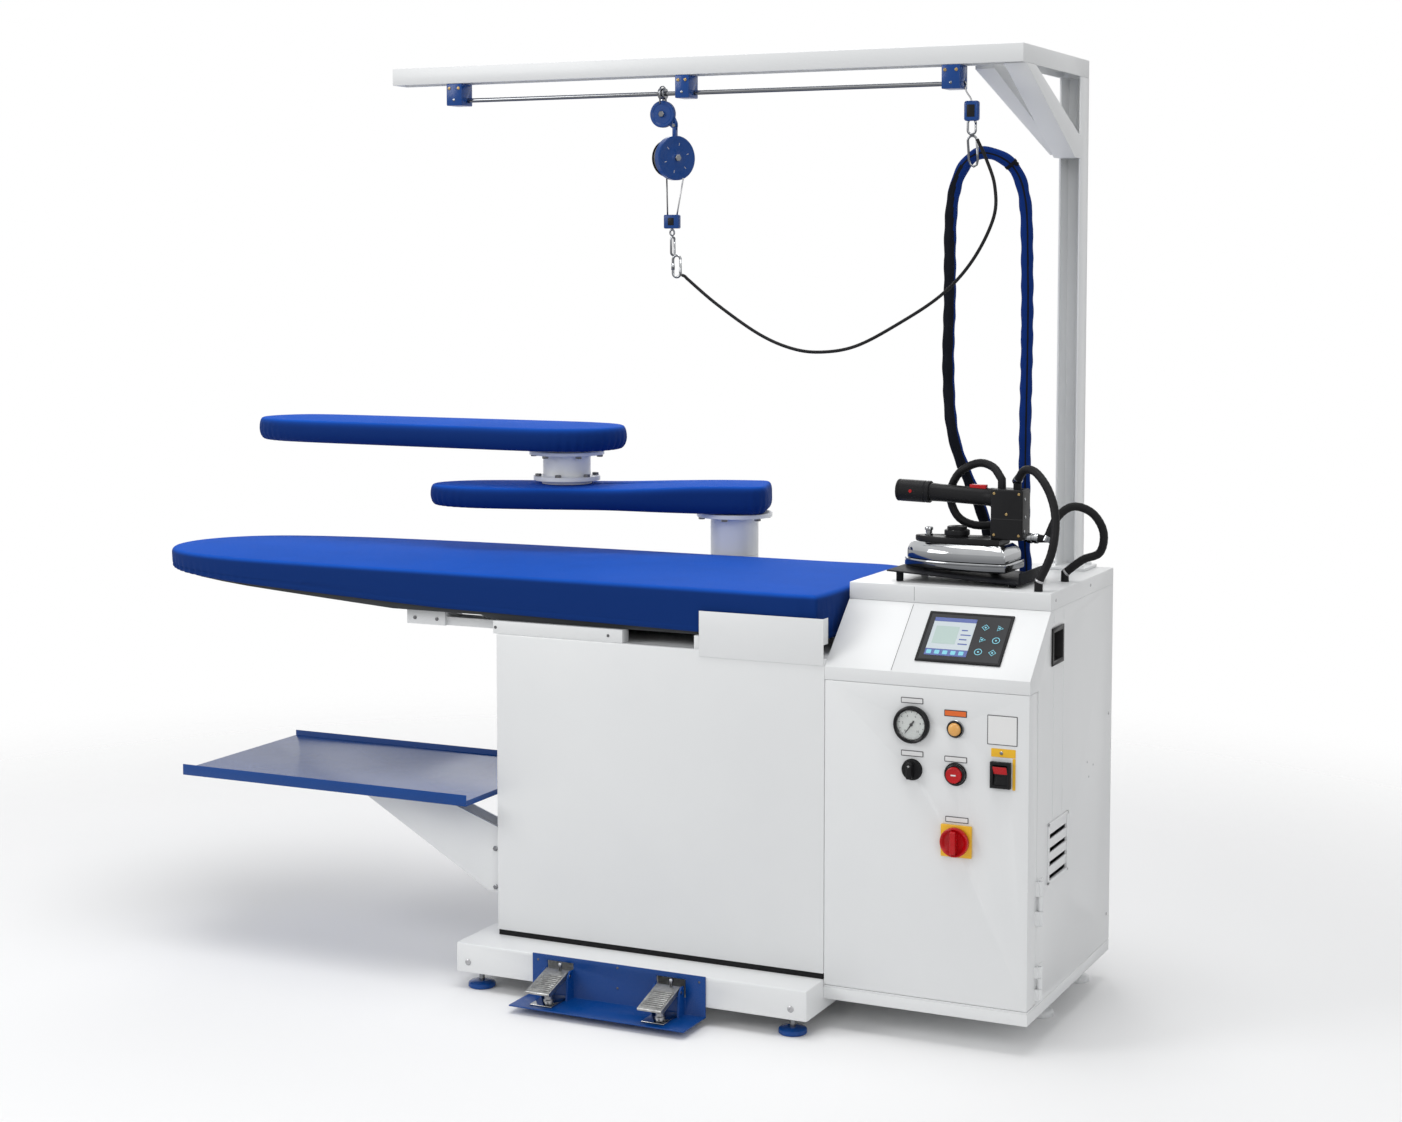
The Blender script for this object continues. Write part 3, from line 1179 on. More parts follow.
part("selector_knob", BLACK,
     turned([(0.0, KNOB_SKIRT), (KNOB_RADIUS - SINK, KNOB_SKIRT), (KNOB_RADIUS, KNOB_SKIRT - SINK),
             (KNOB_RADIUS, GAP), (SPIGOT_RADIUS, GAP), (SPIGOT_RADIUS, -SHANK_LENGTH),
             (0.0, -SHANK_LENGTH)], (KNOB_X, 0.0, KNOB_Z), axis=(0, -1, 0)),
     add=[moved_by(baked(bevel(block(
         (-KNOB_GRIP / 2, -KNOB_DEPTH, -KNOB_RADIUS + SINK),
         (KNOB_GRIP / 2, -KNOB_SKIRT + SINK, KNOB_RADIUS - SINK)), SHEET)),
         Matrix.Translation((KNOB_X, 0.0, KNOB_Z)))],
     origin=(KNOB_X, 0.0, KNOB_Z))

part("rocker_frame", BLACK,
     block((ROCKER_LEFT, -ROCKER_DEPTH, ROCKER_BOTTOM), (ROCKER_RIGHT, -GAP, ROCKER_TOP)),
     add=[block((rocker_x - body_half, -GAP - SINK, rocker_z - body_tall),
                (rocker_x + body_half, SHANK_LENGTH + ROCKER_DEPTH, rocker_z + body_tall))],
     cut=[block((ROCKER_LEFT + ROCKER_FRAME, -ROCKER_DEPTH - OVERRUN, ROCKER_BOTTOM + ROCKER_FRAME),
                (ROCKER_RIGHT - ROCKER_FRAME, SHANK_LENGTH, ROCKER_TOP - ROCKER_FRAME)),
          cylinder((ROCKER_LEFT + ROCKER_FRAME / 2, -ROCKER_DEPTH / 2, rocker_z),
                   (ROCKER_RIGHT - ROCKER_FRAME / 2, -ROCKER_DEPTH / 2, rocker_z),
                   ROCKER_PIN + RUNNING_GAP, ROUND_SIDES)])
ROCKER_TILT = math.radians(9.0)
rocker_width = ROCKER_RIGHT - ROCKER_LEFT - 2 * ROCKER_FRAME - 2 * RUNNING_GAP
rocker_reach = rocker_tall - ROCKER_FRAME - SINK
rocker_face = [(-ROCKER_WAVE, rocker_reach), (SHEET, rocker_reach - SHEET), (ROCKER_WAVE, 0.0),
               (SHEET, SHEET - rocker_reach), (-ROCKER_WAVE, -rocker_reach),
               (-ROCKER_WAVE - SHEET, -rocker_reach), (0.0, 0.0),
               (-ROCKER_WAVE - SHEET, rocker_reach)]
rocker = fused(
    extruded("side", rocker_face, -rocker_width / 2, rocker_width / 2),
    add=[cylinder((-rocker_half + ROCKER_FRAME / 2 + GAP, 0.0, 0.0),
                  (rocker_half - ROCKER_FRAME / 2 - GAP, 0.0, 0.0), ROCKER_PIN, ROUND_SIDES)])
rocker_axis = Vector((rocker_x, -ROCKER_DEPTH / 2, rocker_z))
part("rocker_switch", RED,
     moved_by(rocker, Matrix.Translation(rocker_axis) @ Matrix.Rotation(ROCKER_TILT, 4, "X")),
     origin=rocker_axis)

part("main_switch_plate", YELLOW,
     baked(bevel(block((MAIN_X - MAIN_PLATE / 2, -MAIN_PLATE_DEPTH, MAIN_Z - MAIN_PLATE / 2),
                       (MAIN_X + MAIN_PLATE / 2, -GAP, MAIN_Z + MAIN_PLATE / 2)), SHEET)),
     add=[cylinder((MAIN_X, -MAIN_COLLAR_DEPTH, MAIN_Z), (MAIN_X, -MAIN_PLATE_DEPTH + SINK, MAIN_Z),
                   MAIN_COLLAR)],
     cut=[cylinder((MAIN_X, -MAIN_COLLAR_DEPTH - OVERRUN, MAIN_Z), (MAIN_X, OVERRUN, MAIN_Z),
                   shank_bore, ROUND_SIDES)])
main_low = MAIN_COLLAR_DEPTH + GAP
part("main_switch_knob", RED,
     turned([(0.0, main_low + MAIN_COLLAR_DEPTH), (MAIN_RADIUS - SHEET, main_low + MAIN_COLLAR_DEPTH),
             (MAIN_RADIUS, main_low + MAIN_COLLAR_DEPTH - SHEET), (MAIN_RADIUS, main_low),
             (SPIGOT_RADIUS, main_low), (SPIGOT_RADIUS, -SHANK_LENGTH), (0.0, -SHANK_LENGTH)],
            (MAIN_X, 0.0, MAIN_Z), axis=(0, -1, 0)),
     add=[moved_by(baked(bevel(block(
         (-MAIN_GRIP_WIDTH / 2, -main_low - MAIN_DEPTH, -MAIN_RADIUS + SHEET),
         (MAIN_GRIP_WIDTH / 2, -main_low - MAIN_COLLAR_DEPTH + SINK, MAIN_RADIUS - SHEET)), SHEET)),
         Matrix.Translation((MAIN_X, 0.0, MAIN_Z)))],
     origin=(MAIN_X, 0.0, MAIN_Z))

# Overhead rail.

column_top = BEAM_BOTTOM - GAP
column_foot = LID_TOP + GAP
BEAM_REAR = CABINET_DEPTH + SINK
side_beam_left = BEAM_RIGHT - BEAM_WIDTH
part("gantry_beam", WHITE,
     fused(block((BEAM_LEFT, BEAM_FRONT, BEAM_BOTTOM), (BEAM_RIGHT, BEAM_FRONT + BEAM_WIDTH, BEAM_TOP)),
           add=[block((side_beam_left, BEAM_FRONT + SINK, BEAM_BOTTOM),
                      (BEAM_RIGHT, BEAM_REAR, BEAM_TOP))]),
     cut=[block((BEAM_LEFT + BEAM_SHEET, BEAM_FRONT + BEAM_SHEET, BEAM_BOTTOM - OVERRUN),
                (BEAM_RIGHT - BEAM_SHEET, BEAM_FRONT + BEAM_WIDTH - BEAM_SHEET,
                 BEAM_TOP - BEAM_SHEET)),
          block((side_beam_left + BEAM_SHEET, BEAM_FRONT + BEAM_WIDTH - BEAM_SHEET - OVERRUN,
                 BEAM_BOTTOM - OVERRUN),
                (BEAM_RIGHT - BEAM_SHEET, BEAM_REAR - BEAM_SHEET, BEAM_TOP - BEAM_SHEET))])

# The main brace is a channel that runs from the beam's corner down to the column; the
# light brace springs from the front beam, further left.
MAIN_BRACE_TOP_FRONT = 0.150
MAIN_BRACE_TOP_REAR = 0.215
MAIN_BRACE_REACH = 0.040
MAIN_BRACE_FOOT_FRONT = COLUMN_FRONT - MAIN_BRACE_REACH
MAIN_BRACE_LOW = 1.816
MAIN_BRACE_HIGH = 1.862
LIGHT_TOP_LEFT, LIGHT_TOP_RIGHT = -0.190, -0.148
LIGHT_FOOT_LEFT, LIGHT_FOOT_RIGHT = -0.137, -0.1155
LIGHT_LOW, LIGHT_HIGH = 1.824, 1.850
LIGHT_TOP_LOW = 1.985
LIGHT_TOP_DEPTH = 0.036
column_box = [(COLUMN_LEFT, COLUMN_FRONT), (BEAM_RIGHT, COLUMN_FRONT), (BEAM_RIGHT, BEAM_REAR),
              (COLUMN_LEFT, BEAM_REAR)]
brace_back = COLUMN_FRONT + SINK
light_top_y = BEAM_FRONT + BEAM_WIDTH + GAP
main_brace = extruded("side", [
    (MAIN_BRACE_TOP_FRONT, column_top), (MAIN_BRACE_TOP_REAR, column_top),
    (brace_back, MAIN_BRACE_HIGH), (brace_back, MAIN_BRACE_LOW),
    (MAIN_BRACE_FOOT_FRONT, MAIN_BRACE_LOW)], COLUMN_LEFT, BEAM_RIGHT)
light_brace = lofted([
    [Vector((x, light_top_y, z)) for x, z in (
        (LIGHT_TOP_LEFT, LIGHT_TOP_LOW), (LIGHT_TOP_RIGHT, LIGHT_TOP_LOW),
        (LIGHT_TOP_RIGHT, LIGHT_TOP_LOW + LIGHT_TOP_DEPTH),
        (LIGHT_TOP_LEFT, LIGHT_TOP_LOW + LIGHT_TOP_DEPTH))],
    [Vector((x, COLUMN_FRONT + BEAM_SHEET / 2, z)) for x, z in (
        (LIGHT_FOOT_LEFT, LIGHT_LOW), (LIGHT_FOOT_RIGHT, LIGHT_LOW),
        (LIGHT_FOOT_RIGHT, LIGHT_HIGH), (LIGHT_FOOT_LEFT, LIGHT_HIGH))]])
flange_front = COLUMN_FRONT - COLUMN_FOOT_MARGIN
column_bolts = [(x, y) for x in (COLUMN_LEFT - COLUMN_FOOT_MARGIN / 2,
                                 BEAM_RIGHT + COLUMN_FOOT_MARGIN / 2)
                for y in (flange_front + COLUMN_FOOT_MARGIN / 2, BEAM_REAR - COLUMN_FOOT_MARGIN / 2)]
part("gantry_column", WHITE,
     fused(extruded("plan", column_box, column_foot, column_top),
           cut=[block((COLUMN_LEFT + COLUMN_SHEET, COLUMN_FRONT - OVERRUN,
                       column_foot + COLUMN_FLANGE),
                      (BEAM_RIGHT - COLUMN_SHEET, BEAM_REAR - COLUMN_SHEET,
                       column_top + OVERRUN))]),
     add=[block((COLUMN_LEFT - COLUMN_FOOT_MARGIN, flange_front, column_foot),
                (BEAM_RIGHT + COLUMN_FOOT_MARGIN, BEAM_REAR, column_foot + COLUMN_FLANGE)),
          main_brace, light_brace]
     + [hexagon((x, y, column_foot + COLUMN_FLANGE - SINK), (0, 0, 1), BOLT_HEAD,
                BOLT_HEAD_HEIGHT) for x, y in column_bolts])

rod_bore = ROD_RADIUS + RUNNING_GAP
MIDDLE_BRACKET_WIDTH = 0.033
for name, centre, width in zip(("left", "middle", "right"), ROD_BRACKET_CENTRES,
                               (ROD_BRACKET_WIDTH, MIDDLE_BRACKET_WIDTH, ROD_BRACKET_WIDTH)):
    bracket_high = BEAM_BOTTOM - GAP
    part(f"rod_bracket_{name}", BLUE_PAINT,
         baked(bevel(block(
             (centre - width / 2, BEAM_FRONT, bracket_high - ROD_BRACKET_HEIGHT),
             (centre + width / 2, BEAM_FRONT + ROD_BRACKET_DEPTH, bracket_high)), SHEET)),
         cut=[cylinder((centre - width, ROD_Y, ROD_Z), (centre + width, ROD_Y, ROD_Z), rod_bore,
                       ROUND_SIDES)])
part("slide_rod", CHROME,
     cylinder((ROD_LEFT, ROD_Y, ROD_Z), (ROD_RIGHT + ROD_RADIUS, ROD_Y, ROD_Z), ROD_RADIUS,
              ROUND_SIDES))

# Trolley, balancer and hangers.

ring_half = TROLLEY_RING_WIDTH / 2
pulley_z = ROD_Z - TROLLEY_DROP
LUG_X = -0.860              # the balancer hangs here, over its own weight
LUG_Z = 1.8860
LUG_RADIUS = 0.006
SWING_PIN = 0.0025
STRAP_WIDTH = 0.010
STRAP_SHEET = 0.004
part("trolley_block", BLUE_PAINT,
     cylinder((TROLLEY_X - ring_half, ROD_Y, ROD_Z), (TROLLEY_X + ring_half, ROD_Y, ROD_Z),
              TROLLEY_RING),
     add=[block((TROLLEY_X - ring_half + SINK, ROD_Y - TROLLEY_STRAP / 2, pulley_z),
                (TROLLEY_X + ring_half - SINK, ROD_Y + TROLLEY_STRAP / 2, ROD_Z - ROD_RADIUS - SHEET)),
          turned([(0.0, PULLEY_WIDTH / 2), (PULLEY_RADIUS - SHEET, PULLEY_WIDTH / 2),
                  (PULLEY_RADIUS, PULLEY_WIDTH / 2 - SHEET), (PULLEY_RADIUS, PULLEY_WIDTH / 4),
                  (PULLEY_RADIUS - SHEET, 0.0), (PULLEY_RADIUS, -PULLEY_WIDTH / 4),
                  (PULLEY_RADIUS, -PULLEY_WIDTH / 2 + SHEET),
                  (PULLEY_RADIUS - SHEET, -PULLEY_WIDTH / 2), (0.0, -PULLEY_WIDTH / 2)],
                 (TROLLEY_X, ROD_Y, pulley_z), axis=(0, -1, 0)),
          cylinder((TROLLEY_X, ROD_Y - PULLEY_WIDTH / 2 - SHEET, pulley_z),
                   (TROLLEY_X, ROD_Y, pulley_z), NUT_RADIUS, ROUND_SIDES),
          extruded("front", [(TROLLEY_X, pulley_z - STRAP_WIDTH / 2),
                             (TROLLEY_X + STRAP_WIDTH, pulley_z),
                             (LUG_X + LUG_RADIUS, LUG_Z), (LUG_X + LUG_RADIUS, LUG_Z - LUG_RADIUS),
                             (LUG_X - LUG_RADIUS, LUG_Z - LUG_RADIUS),
                             (LUG_X - LUG_RADIUS, LUG_Z)],
                   ROD_Y - STRAP_SHEET / 2, ROD_Y + STRAP_SHEET / 2)],
     cut=[cylinder((TROLLEY_X - ring_half - OVERRUN, ROD_Y, ROD_Z),
                   (TROLLEY_X + ring_half + OVERRUN, ROD_Y, ROD_Z), rod_bore, ROUND_SIDES),
          cylinder((LUG_X, ROD_Y - STRAP_SHEET - OVERRUN, LUG_Z),
                   (LUG_X, ROD_Y + STRAP_SHEET + OVERRUN, LUG_Z), SWING_PIN + RUNNING_GAP,
                   ROUND_SIDES)],
     origin=(TROLLEY_X, ROD_Y, ROD_Z))

# The balancer's disc faces the operator's right; its cable drum runs behind it.
facing = Vector((math.sin(BALANCER_TURN), -math.cos(BALANCER_TURN), 0.0))
swing_axis = Vector((LUG_X, ROD_Y, LUG_Z))
wheel = Vector((LUG_X, ROD_Y, BALANCER_Z))
yoke_low = BALANCER_Z + BALANCER_RADIUS * 0.7
drum_clear = BALANCER_Z + DRUM_RADIUS + SHEET
ARM_GAP = STRAP_SHEET / 2 + RUNNING_GAP
part("balancer_case", BLUE_PAINT,
     turned([(0.0, BALANCER_WIDTH), (BALANCER_RADIUS * 0.25, BALANCER_WIDTH),
             (BALANCER_RADIUS * 0.30, BALANCER_WIDTH - SHEET),
             (BALANCER_RADIUS * 0.80, BALANCER_WIDTH - SHEET),
             (BALANCER_RADIUS * 0.95, BALANCER_WIDTH - SHEET - SHEET),
             (BALANCER_RADIUS, BALANCER_WIDTH - SHEET - SHEET - SHEET),
             (BALANCER_RADIUS, 0.0), (DRUM_AXLE, 0.0),
             (DRUM_AXLE, -DRUM_WIDTH - SHEET - SHEET), (0.0, -DRUM_WIDTH - SHEET - SHEET)],
            wheel, axis=facing, steps=24),
     add=[block((LUG_X - LUG_RADIUS, ROD_Y - ARM_GAP - STRAP_SHEET, drum_clear),
                (LUG_X + LUG_RADIUS, ROD_Y - ARM_GAP, LUG_Z + LUG_RADIUS)),
          block((LUG_X + SINK, ROD_Y - ARM_GAP - STRAP_SHEET + SINK / 2, yoke_low),
                (LUG_X + LUG_RADIUS + STRAP_WIDTH, ROD_Y + ARM_GAP - STRAP_SHEET,
                 LUG_Z - LUG_RADIUS - STRAP_SHEET)),
          cylinder((LUG_X, ROD_Y - ARM_GAP - SINK, LUG_Z), (LUG_X, ROD_Y + ARM_GAP + SHEET, LUG_Z),
                   SWING_PIN, ROUND_SIDES)],
     origin=swing_axis)
drum_profile = [
    (DRUM_AXLE + RUNNING_GAP, -SINK), (DRUM_RADIUS, -SINK), (DRUM_RADIUS, -SINK - SHEET),
    (DRUM_RADIUS - SHEET - SHEET, -SINK - SHEET - SHEET),
    (DRUM_RADIUS - SHEET - SHEET, -DRUM_WIDTH + SHEET), (DRUM_RADIUS, -DRUM_WIDTH),
    (DRUM_RADIUS, -DRUM_WIDTH - SINK), (DRUM_AXLE + RUNNING_GAP, -DRUM_WIDTH - SINK),
    (DRUM_AXLE + RUNNING_GAP, -SINK)]
part("balancer_drum", BLACK, turned(drum_profile, wheel, axis=facing, steps=20), origin=wheel)

# Two wires come down to the clamp, and a link and a snap hook hang from it.
drum_middle = wheel - facing * (DRUM_WIDTH / 2 + SINK)
across_drum = Vector((facing.y, -facing.x, 0.0))
WIRE_TOP_SHARE = 0.62
wire_side = DRUM_RADIUS + WIRE_RADIUS + SINK
wire_ends = []
for side in (-1, 1):
    start = drum_middle + across_drum * side * wire_side * WIRE_TOP_SHARE
    start.z = BALANCER_Z - wire_side * math.sqrt(1 - WIRE_TOP_SHARE ** 2) - WIRE_RADIUS
    end = Vector((CLAMP_X + side * CLAMP_WIDTH / 5, ROD_Y, CLAMP_TOP - SINK))
    wire_ends.append((start, end))
eye_z = CLAMP_BOTTOM - EYE_RADIUS
hook_middle = (HOOK_TOP + HOOK_BOTTOM) / 2
HOOK_X = -0.856
LINK_SHARES = ((0.0, 1.0), (0.35, 0.85), (0.5, 0.5), (0.5, -0.5), (0.35, -0.85), (0.0, -1.0),
               (-0.35, -0.85), (-0.5, -0.5), (-0.5, 0.5), (-0.35, 0.85))


def link(centre, width, height, stock, facing_x=False):
    """A closed link of round bar, bent round its centre."""
    ring = []
    for across, up in LINK_SHARES:
        x, z = across * width, up * height / 2
        ring.append(Vector((0.0, x, z) if facing_x else (x, 0.0, z)) + Vector(centre))
    curve = tube(ring, stock, 1)
    curve.data.splines[0].use_cyclic_u = True
    return baked(curve)


link_low = HOOK_TOP - LINK_RADIUS
link_high = CLAMP_BOTTOM - EYE_RADIUS
part("snap_hook", STEEL,
     baked(bevel(block((CLAMP_X - CLAMP_WIDTH / 2, ROD_Y - CLAMP_DEPTH / 2, CLAMP_BOTTOM),
                       (CLAMP_X + CLAMP_WIDTH / 2, ROD_Y + CLAMP_DEPTH / 2, CLAMP_TOP)), SHEET)),
     add=[baked(tube([start, end], WIRE_RADIUS, 1)) for start, end in wire_ends]
     + [cylinder((CLAMP_X, ROD_Y, eye_z), (CLAMP_X, ROD_Y, CLAMP_BOTTOM + SINK), LINK_RADIUS * 1.4,
                 ROUND_SIDES),
        link((CLAMP_X, ROD_Y, (link_high + link_low) / 2 + LINK_RADIUS / 2),
             EYE_RADIUS * 2, link_high - link_low + LINK_RADIUS * 4, LINK_RADIUS),
        link((HOOK_X, ROD_Y, hook_middle), HOOK_WIDTH * 0.8, HOOK_TOP - HOOK_BOTTOM,
             HOOK_STOCK, facing_x=False)],
     origin=swing_axis)

hanger_top = Vector((ROD_RIGHT + ROD_BRACKET_WIDTH / 2, ROD_Y, ROD_Z - ROD_RADIUS - SHEET))
hanger_clamp_x = HANGER_X
LOOP_TOP = 1.851
LOOP_BOTTOM = 1.786
LOOP_Y = 0.178
hanger_wire = [hanger_top + Vector((GAP, 0.0, 0.0)), hanger_top + Vector((GAP + SHEET, 0.0, 0.0)),
               Vector((hanger_clamp_x, ROD_Y, HANGER_CLAMP_TOP - SINK))]
part("hose_hanger", BLUE_PAINT,
     baked(bevel(block(
         (hanger_clamp_x - HANGER_CLAMP_WIDTH / 2, ROD_Y - HANGER_CLAMP_DEPTH / 2, HANGER_CLAMP_BOTTOM),
         (hanger_clamp_x + HANGER_CLAMP_WIDTH / 2, ROD_Y + HANGER_CLAMP_DEPTH / 2,
          HANGER_CLAMP_TOP)), SHEET)),
     add=[baked(tube(hanger_wire, WIRE_RADIUS, 1)),
          link((hanger_clamp_x, ROD_Y, (HANGER_CLAMP_BOTTOM + LOOP_TOP) / 2),
               SHACKLE_WIDTH, HANGER_CLAMP_BOTTOM - LOOP_TOP + LINK_RADIUS * 4, LINK_RADIUS),
          baked(tube([Vector((hanger_clamp_x, ROD_Y, LOOP_TOP)),
                      Vector((hanger_clamp_x + SHEET, LOOP_Y - LINK_RADIUS, LOOP_BOTTOM))],
                     LINK_RADIUS, 1))],
     origin=hanger_top)

# Posts and arms.

SLEEVE_LENGTH = 0.090       # of the arm's shank outside the post
POST_SEAM = POST_TOP - SLEEVE_LENGTH
TUBE_BORE = POST_RADIUS - POST_WALL
SHANK_REACH = 0.080         # how far an arm's shank runs down in the tube below it
post_foot_low = BASE_TOP + GAP
BIG_SIDES = 20
BIG_RUNNING_GAP = 0.0008    # air round an arm's shank
HUB_RADIUS = 0.060
BOLT_START = math.radians(11.0)
part("main_post", WHITE,
     turned([(TUBE_BORE, POST_SEAM), (POST_RADIUS, POST_SEAM),
             (POST_RADIUS, post_foot_low + POST_FOOT_PLATE - SINK),
             (TUBE_BORE, post_foot_low + POST_FOOT_PLATE - SINK), (TUBE_BORE, POST_SEAM)],
            (POST_X, POST_Y, 0.0), steps=BIG_SIDES),
     add=[block((POST_X - POST_FOOT, POST_Y - POST_FOOT, post_foot_low),
                (POST_X + POST_FOOT, POST_Y + POST_FOOT, post_foot_low + POST_FOOT_PLATE))]
     + [extruded("side", [(POST_Y + side * (POST_RADIUS - SINK), post_foot_low + SINK),
                          (POST_Y + side * (POST_FOOT - SINK), post_foot_low + SINK),
                          (POST_Y + side * (POST_RADIUS - SINK), post_foot_low + POST_FOOT)][::side],
                 POST_X - BASE_WALL / 2, POST_X + BASE_WALL / 2) for side in (-1, 1)],
     origin=(POST_X, POST_Y, post_foot_low))

# Shares of an arm's length from its back end to its tip, and of its full width.
LOWER_SHARES = ((0.000, 0.380), (0.015, 0.408), (0.120, 0.412), (0.220, 0.430), (0.360, 0.485),
                (0.550, 0.500), (0.720, 0.495), (0.840, 0.455), (0.920, 0.370), (0.970, 0.240),
                (0.995, 0.090))
UPPER_SHARES = ((0.002, 0.090), (0.020, 0.250), (0.060, 0.390), (0.120, 0.470), (0.200, 0.500),
                (0.400, 0.490), (0.600, 0.470), (0.780, 0.450), (0.880, 0.415), (0.940, 0.340),
                (0.980, 0.220), (0.998, 0.080))
ARM_POINTS = 36
HEM_WIDTH = 0.016
LAP = 0.003


def arm_outline(shares, back, length, width):
    """A symmetric outline along -X, from the back end to the tip."""
    total = back + length
    one_side = [(back - along * total, across * width) for along, across in shares]
    return closed_curve(one_side + [(x, -y) for x, y in reversed(one_side)], ARM_POINTS)


def arm_cover(outline, bottom, top, crown, spine, raise_by):
    """A padded sleeve: crown, rounded sides and a hem drawn in below."""
    def level(height, sign):
        return lambda place: height + sign * raise_by(place)
    half = (top - bottom) / 2
    middle = level(bottom + half, 0)
    inner = inset(outline, ARM_COVER_THICKNESS)
    return lofted([
        at_height(inner, level(top - ARM_COVER_THICKNESS, 1)),
        at_height(inner, level(bottom + LAP, -1)),
        at_height(inset(outline, HEM_WIDTH), level(bottom + LAP, -1)),
        at_height(inset(outline, HEM_WIDTH), level(bottom, -1)),
        at_height(inset(outline, half * 0.35), level(bottom, -1)),
        at_height(inset(outline, half * 0.10), level(bottom + half * 0.25, -1)),
        at_height(outline, middle),
        at_height(inset(outline, half * 0.10), level(top - half * 0.25, 1)),
        at_height(inset(outline, half * 0.35), level(top - half * 0.04, 1)),
        at_height(towards(outline, spine, 0.55), level(top + crown, 1)),
        at_height(towards(outline, spine, 0.96), level(top + crown, 1))])


lower_outline = arm_outline(LOWER_SHARES, LOWER_BACK, LOWER_LENGTH, LOWER_WIDTH)
lower_spine = ((LOWER_BACK - LOWER_WIDTH / 3, 0.0), (-LOWER_LENGTH + LOWER_WIDTH / 2, 0.0))
ROOT_RISE = 0.008
ROOT_RISE_LENGTH = 0.110


def root_rise(place):
    """The sleeve is thicker over the post, where it turns over the frame."""
    share = min(1.0, max(0.0, (place.x + ROOT_RISE_LENGTH) / ROOT_RISE_LENGTH))
    return ROOT_RISE * share * share * (3 - 2 * share)


def level_arm(place):
    return 0.0


def arm_frame(outline, bottom, top, raise_by):
    """The hollow board inside a sleeve."""
    board = inset(outline, ARM_COVER_THICKNESS + GAP)
    low, high = bottom + LAP + GAP, top - ARM_COVER_THICKNESS - GAP
    inner = inset(board, SHEET)
    skin = lofted([at_height(board, lambda p: low - raise_by(p)),
                   at_height(board, lambda p: high + raise_by(p))])
    space = lofted([at_height(inner, lambda p: low + SHEET - raise_by(p)),
                    at_height(inner, lambda p: high - SHEET + raise_by(p))])
    return skin, space


flange_places = ring_places(FLANGE_BOLTS, POST_FLANGE_RADIUS - BOLT_HEAD - SHEET, BOLT_START)
lower_skin, lower_space = arm_frame(lower_outline, LOWER_BOTTOM, LOWER_TOP, level_arm)
shank_radius = TUBE_BORE - BIG_RUNNING_GAP
flange_top = POST_TOP + POST_FLANGE
board_low = LOWER_BOTTOM + LAP + GAP
part("lower_arm_frame", WHITE, lower_skin,
     add=[turned([(SPIGOT_BORE, board_low + SHEET / 2), (HUB_RADIUS, board_low + SHEET / 2),
                  (HUB_RADIUS, flange_top - SINK), (POST_FLANGE_RADIUS, flange_top - SINK),
                  (POST_FLANGE_RADIUS, POST_TOP), (POST_RADIUS, POST_TOP),
                  (POST_RADIUS, POST_SEAM + GAP), (shank_radius, POST_SEAM + GAP),
                  (shank_radius, POST_SEAM - SHANK_REACH), (SPIGOT_BORE, POST_SEAM - SHANK_REACH),
                  (SPIGOT_BORE, board_low + SHEET / 2)], (0.0, 0.0, 0.0), steps=BIG_SIDES)]
     + [hexagon((x, y, POST_TOP + SINK), (0, 0, -1), BOLT_HEAD, BOLT_HEAD_HEIGHT + SINK)
        for x, y in flange_places],
     cut=[lower_space,
          cylinder((0.0, 0.0, board_low - OVERRUN), (0.0, 0.0, board_low + SHEET + OVERRUN),
                   SPIGOT_BORE - SINK),
          cylinder((-UPPER_PIVOT, 0.0, LOWER_BOTTOM - OVERRUN),
                   (-UPPER_PIVOT, 0.0, LOWER_TOP + OVERRUN), SPIGOT_BORE + BIG_RUNNING_GAP, BIG_SIDES)],
     origin=(0.0, 0.0, POST_TOP), parent=LOWER_ARM)
part("lower_arm_cover", BLUE_CLOTH,
     arm_cover(lower_outline, LOWER_BOTTOM, LOWER_TOP, LOWER_CROWN, lower_spine, root_rise),
     cut=[cylinder((-UPPER_PIVOT, 0.0, LOWER_TOP - ARM_COVER_THICKNESS - OVERRUN),
                   (-UPPER_PIVOT, 0.0, LOWER_TOP + LOWER_CROWN + ROOT_RISE + OVERRUN),
                   SPIGOT_BORE + SHEET)],
     origin=(0.0, 0.0, LOWER_TOP), parent=LOWER_ARM)

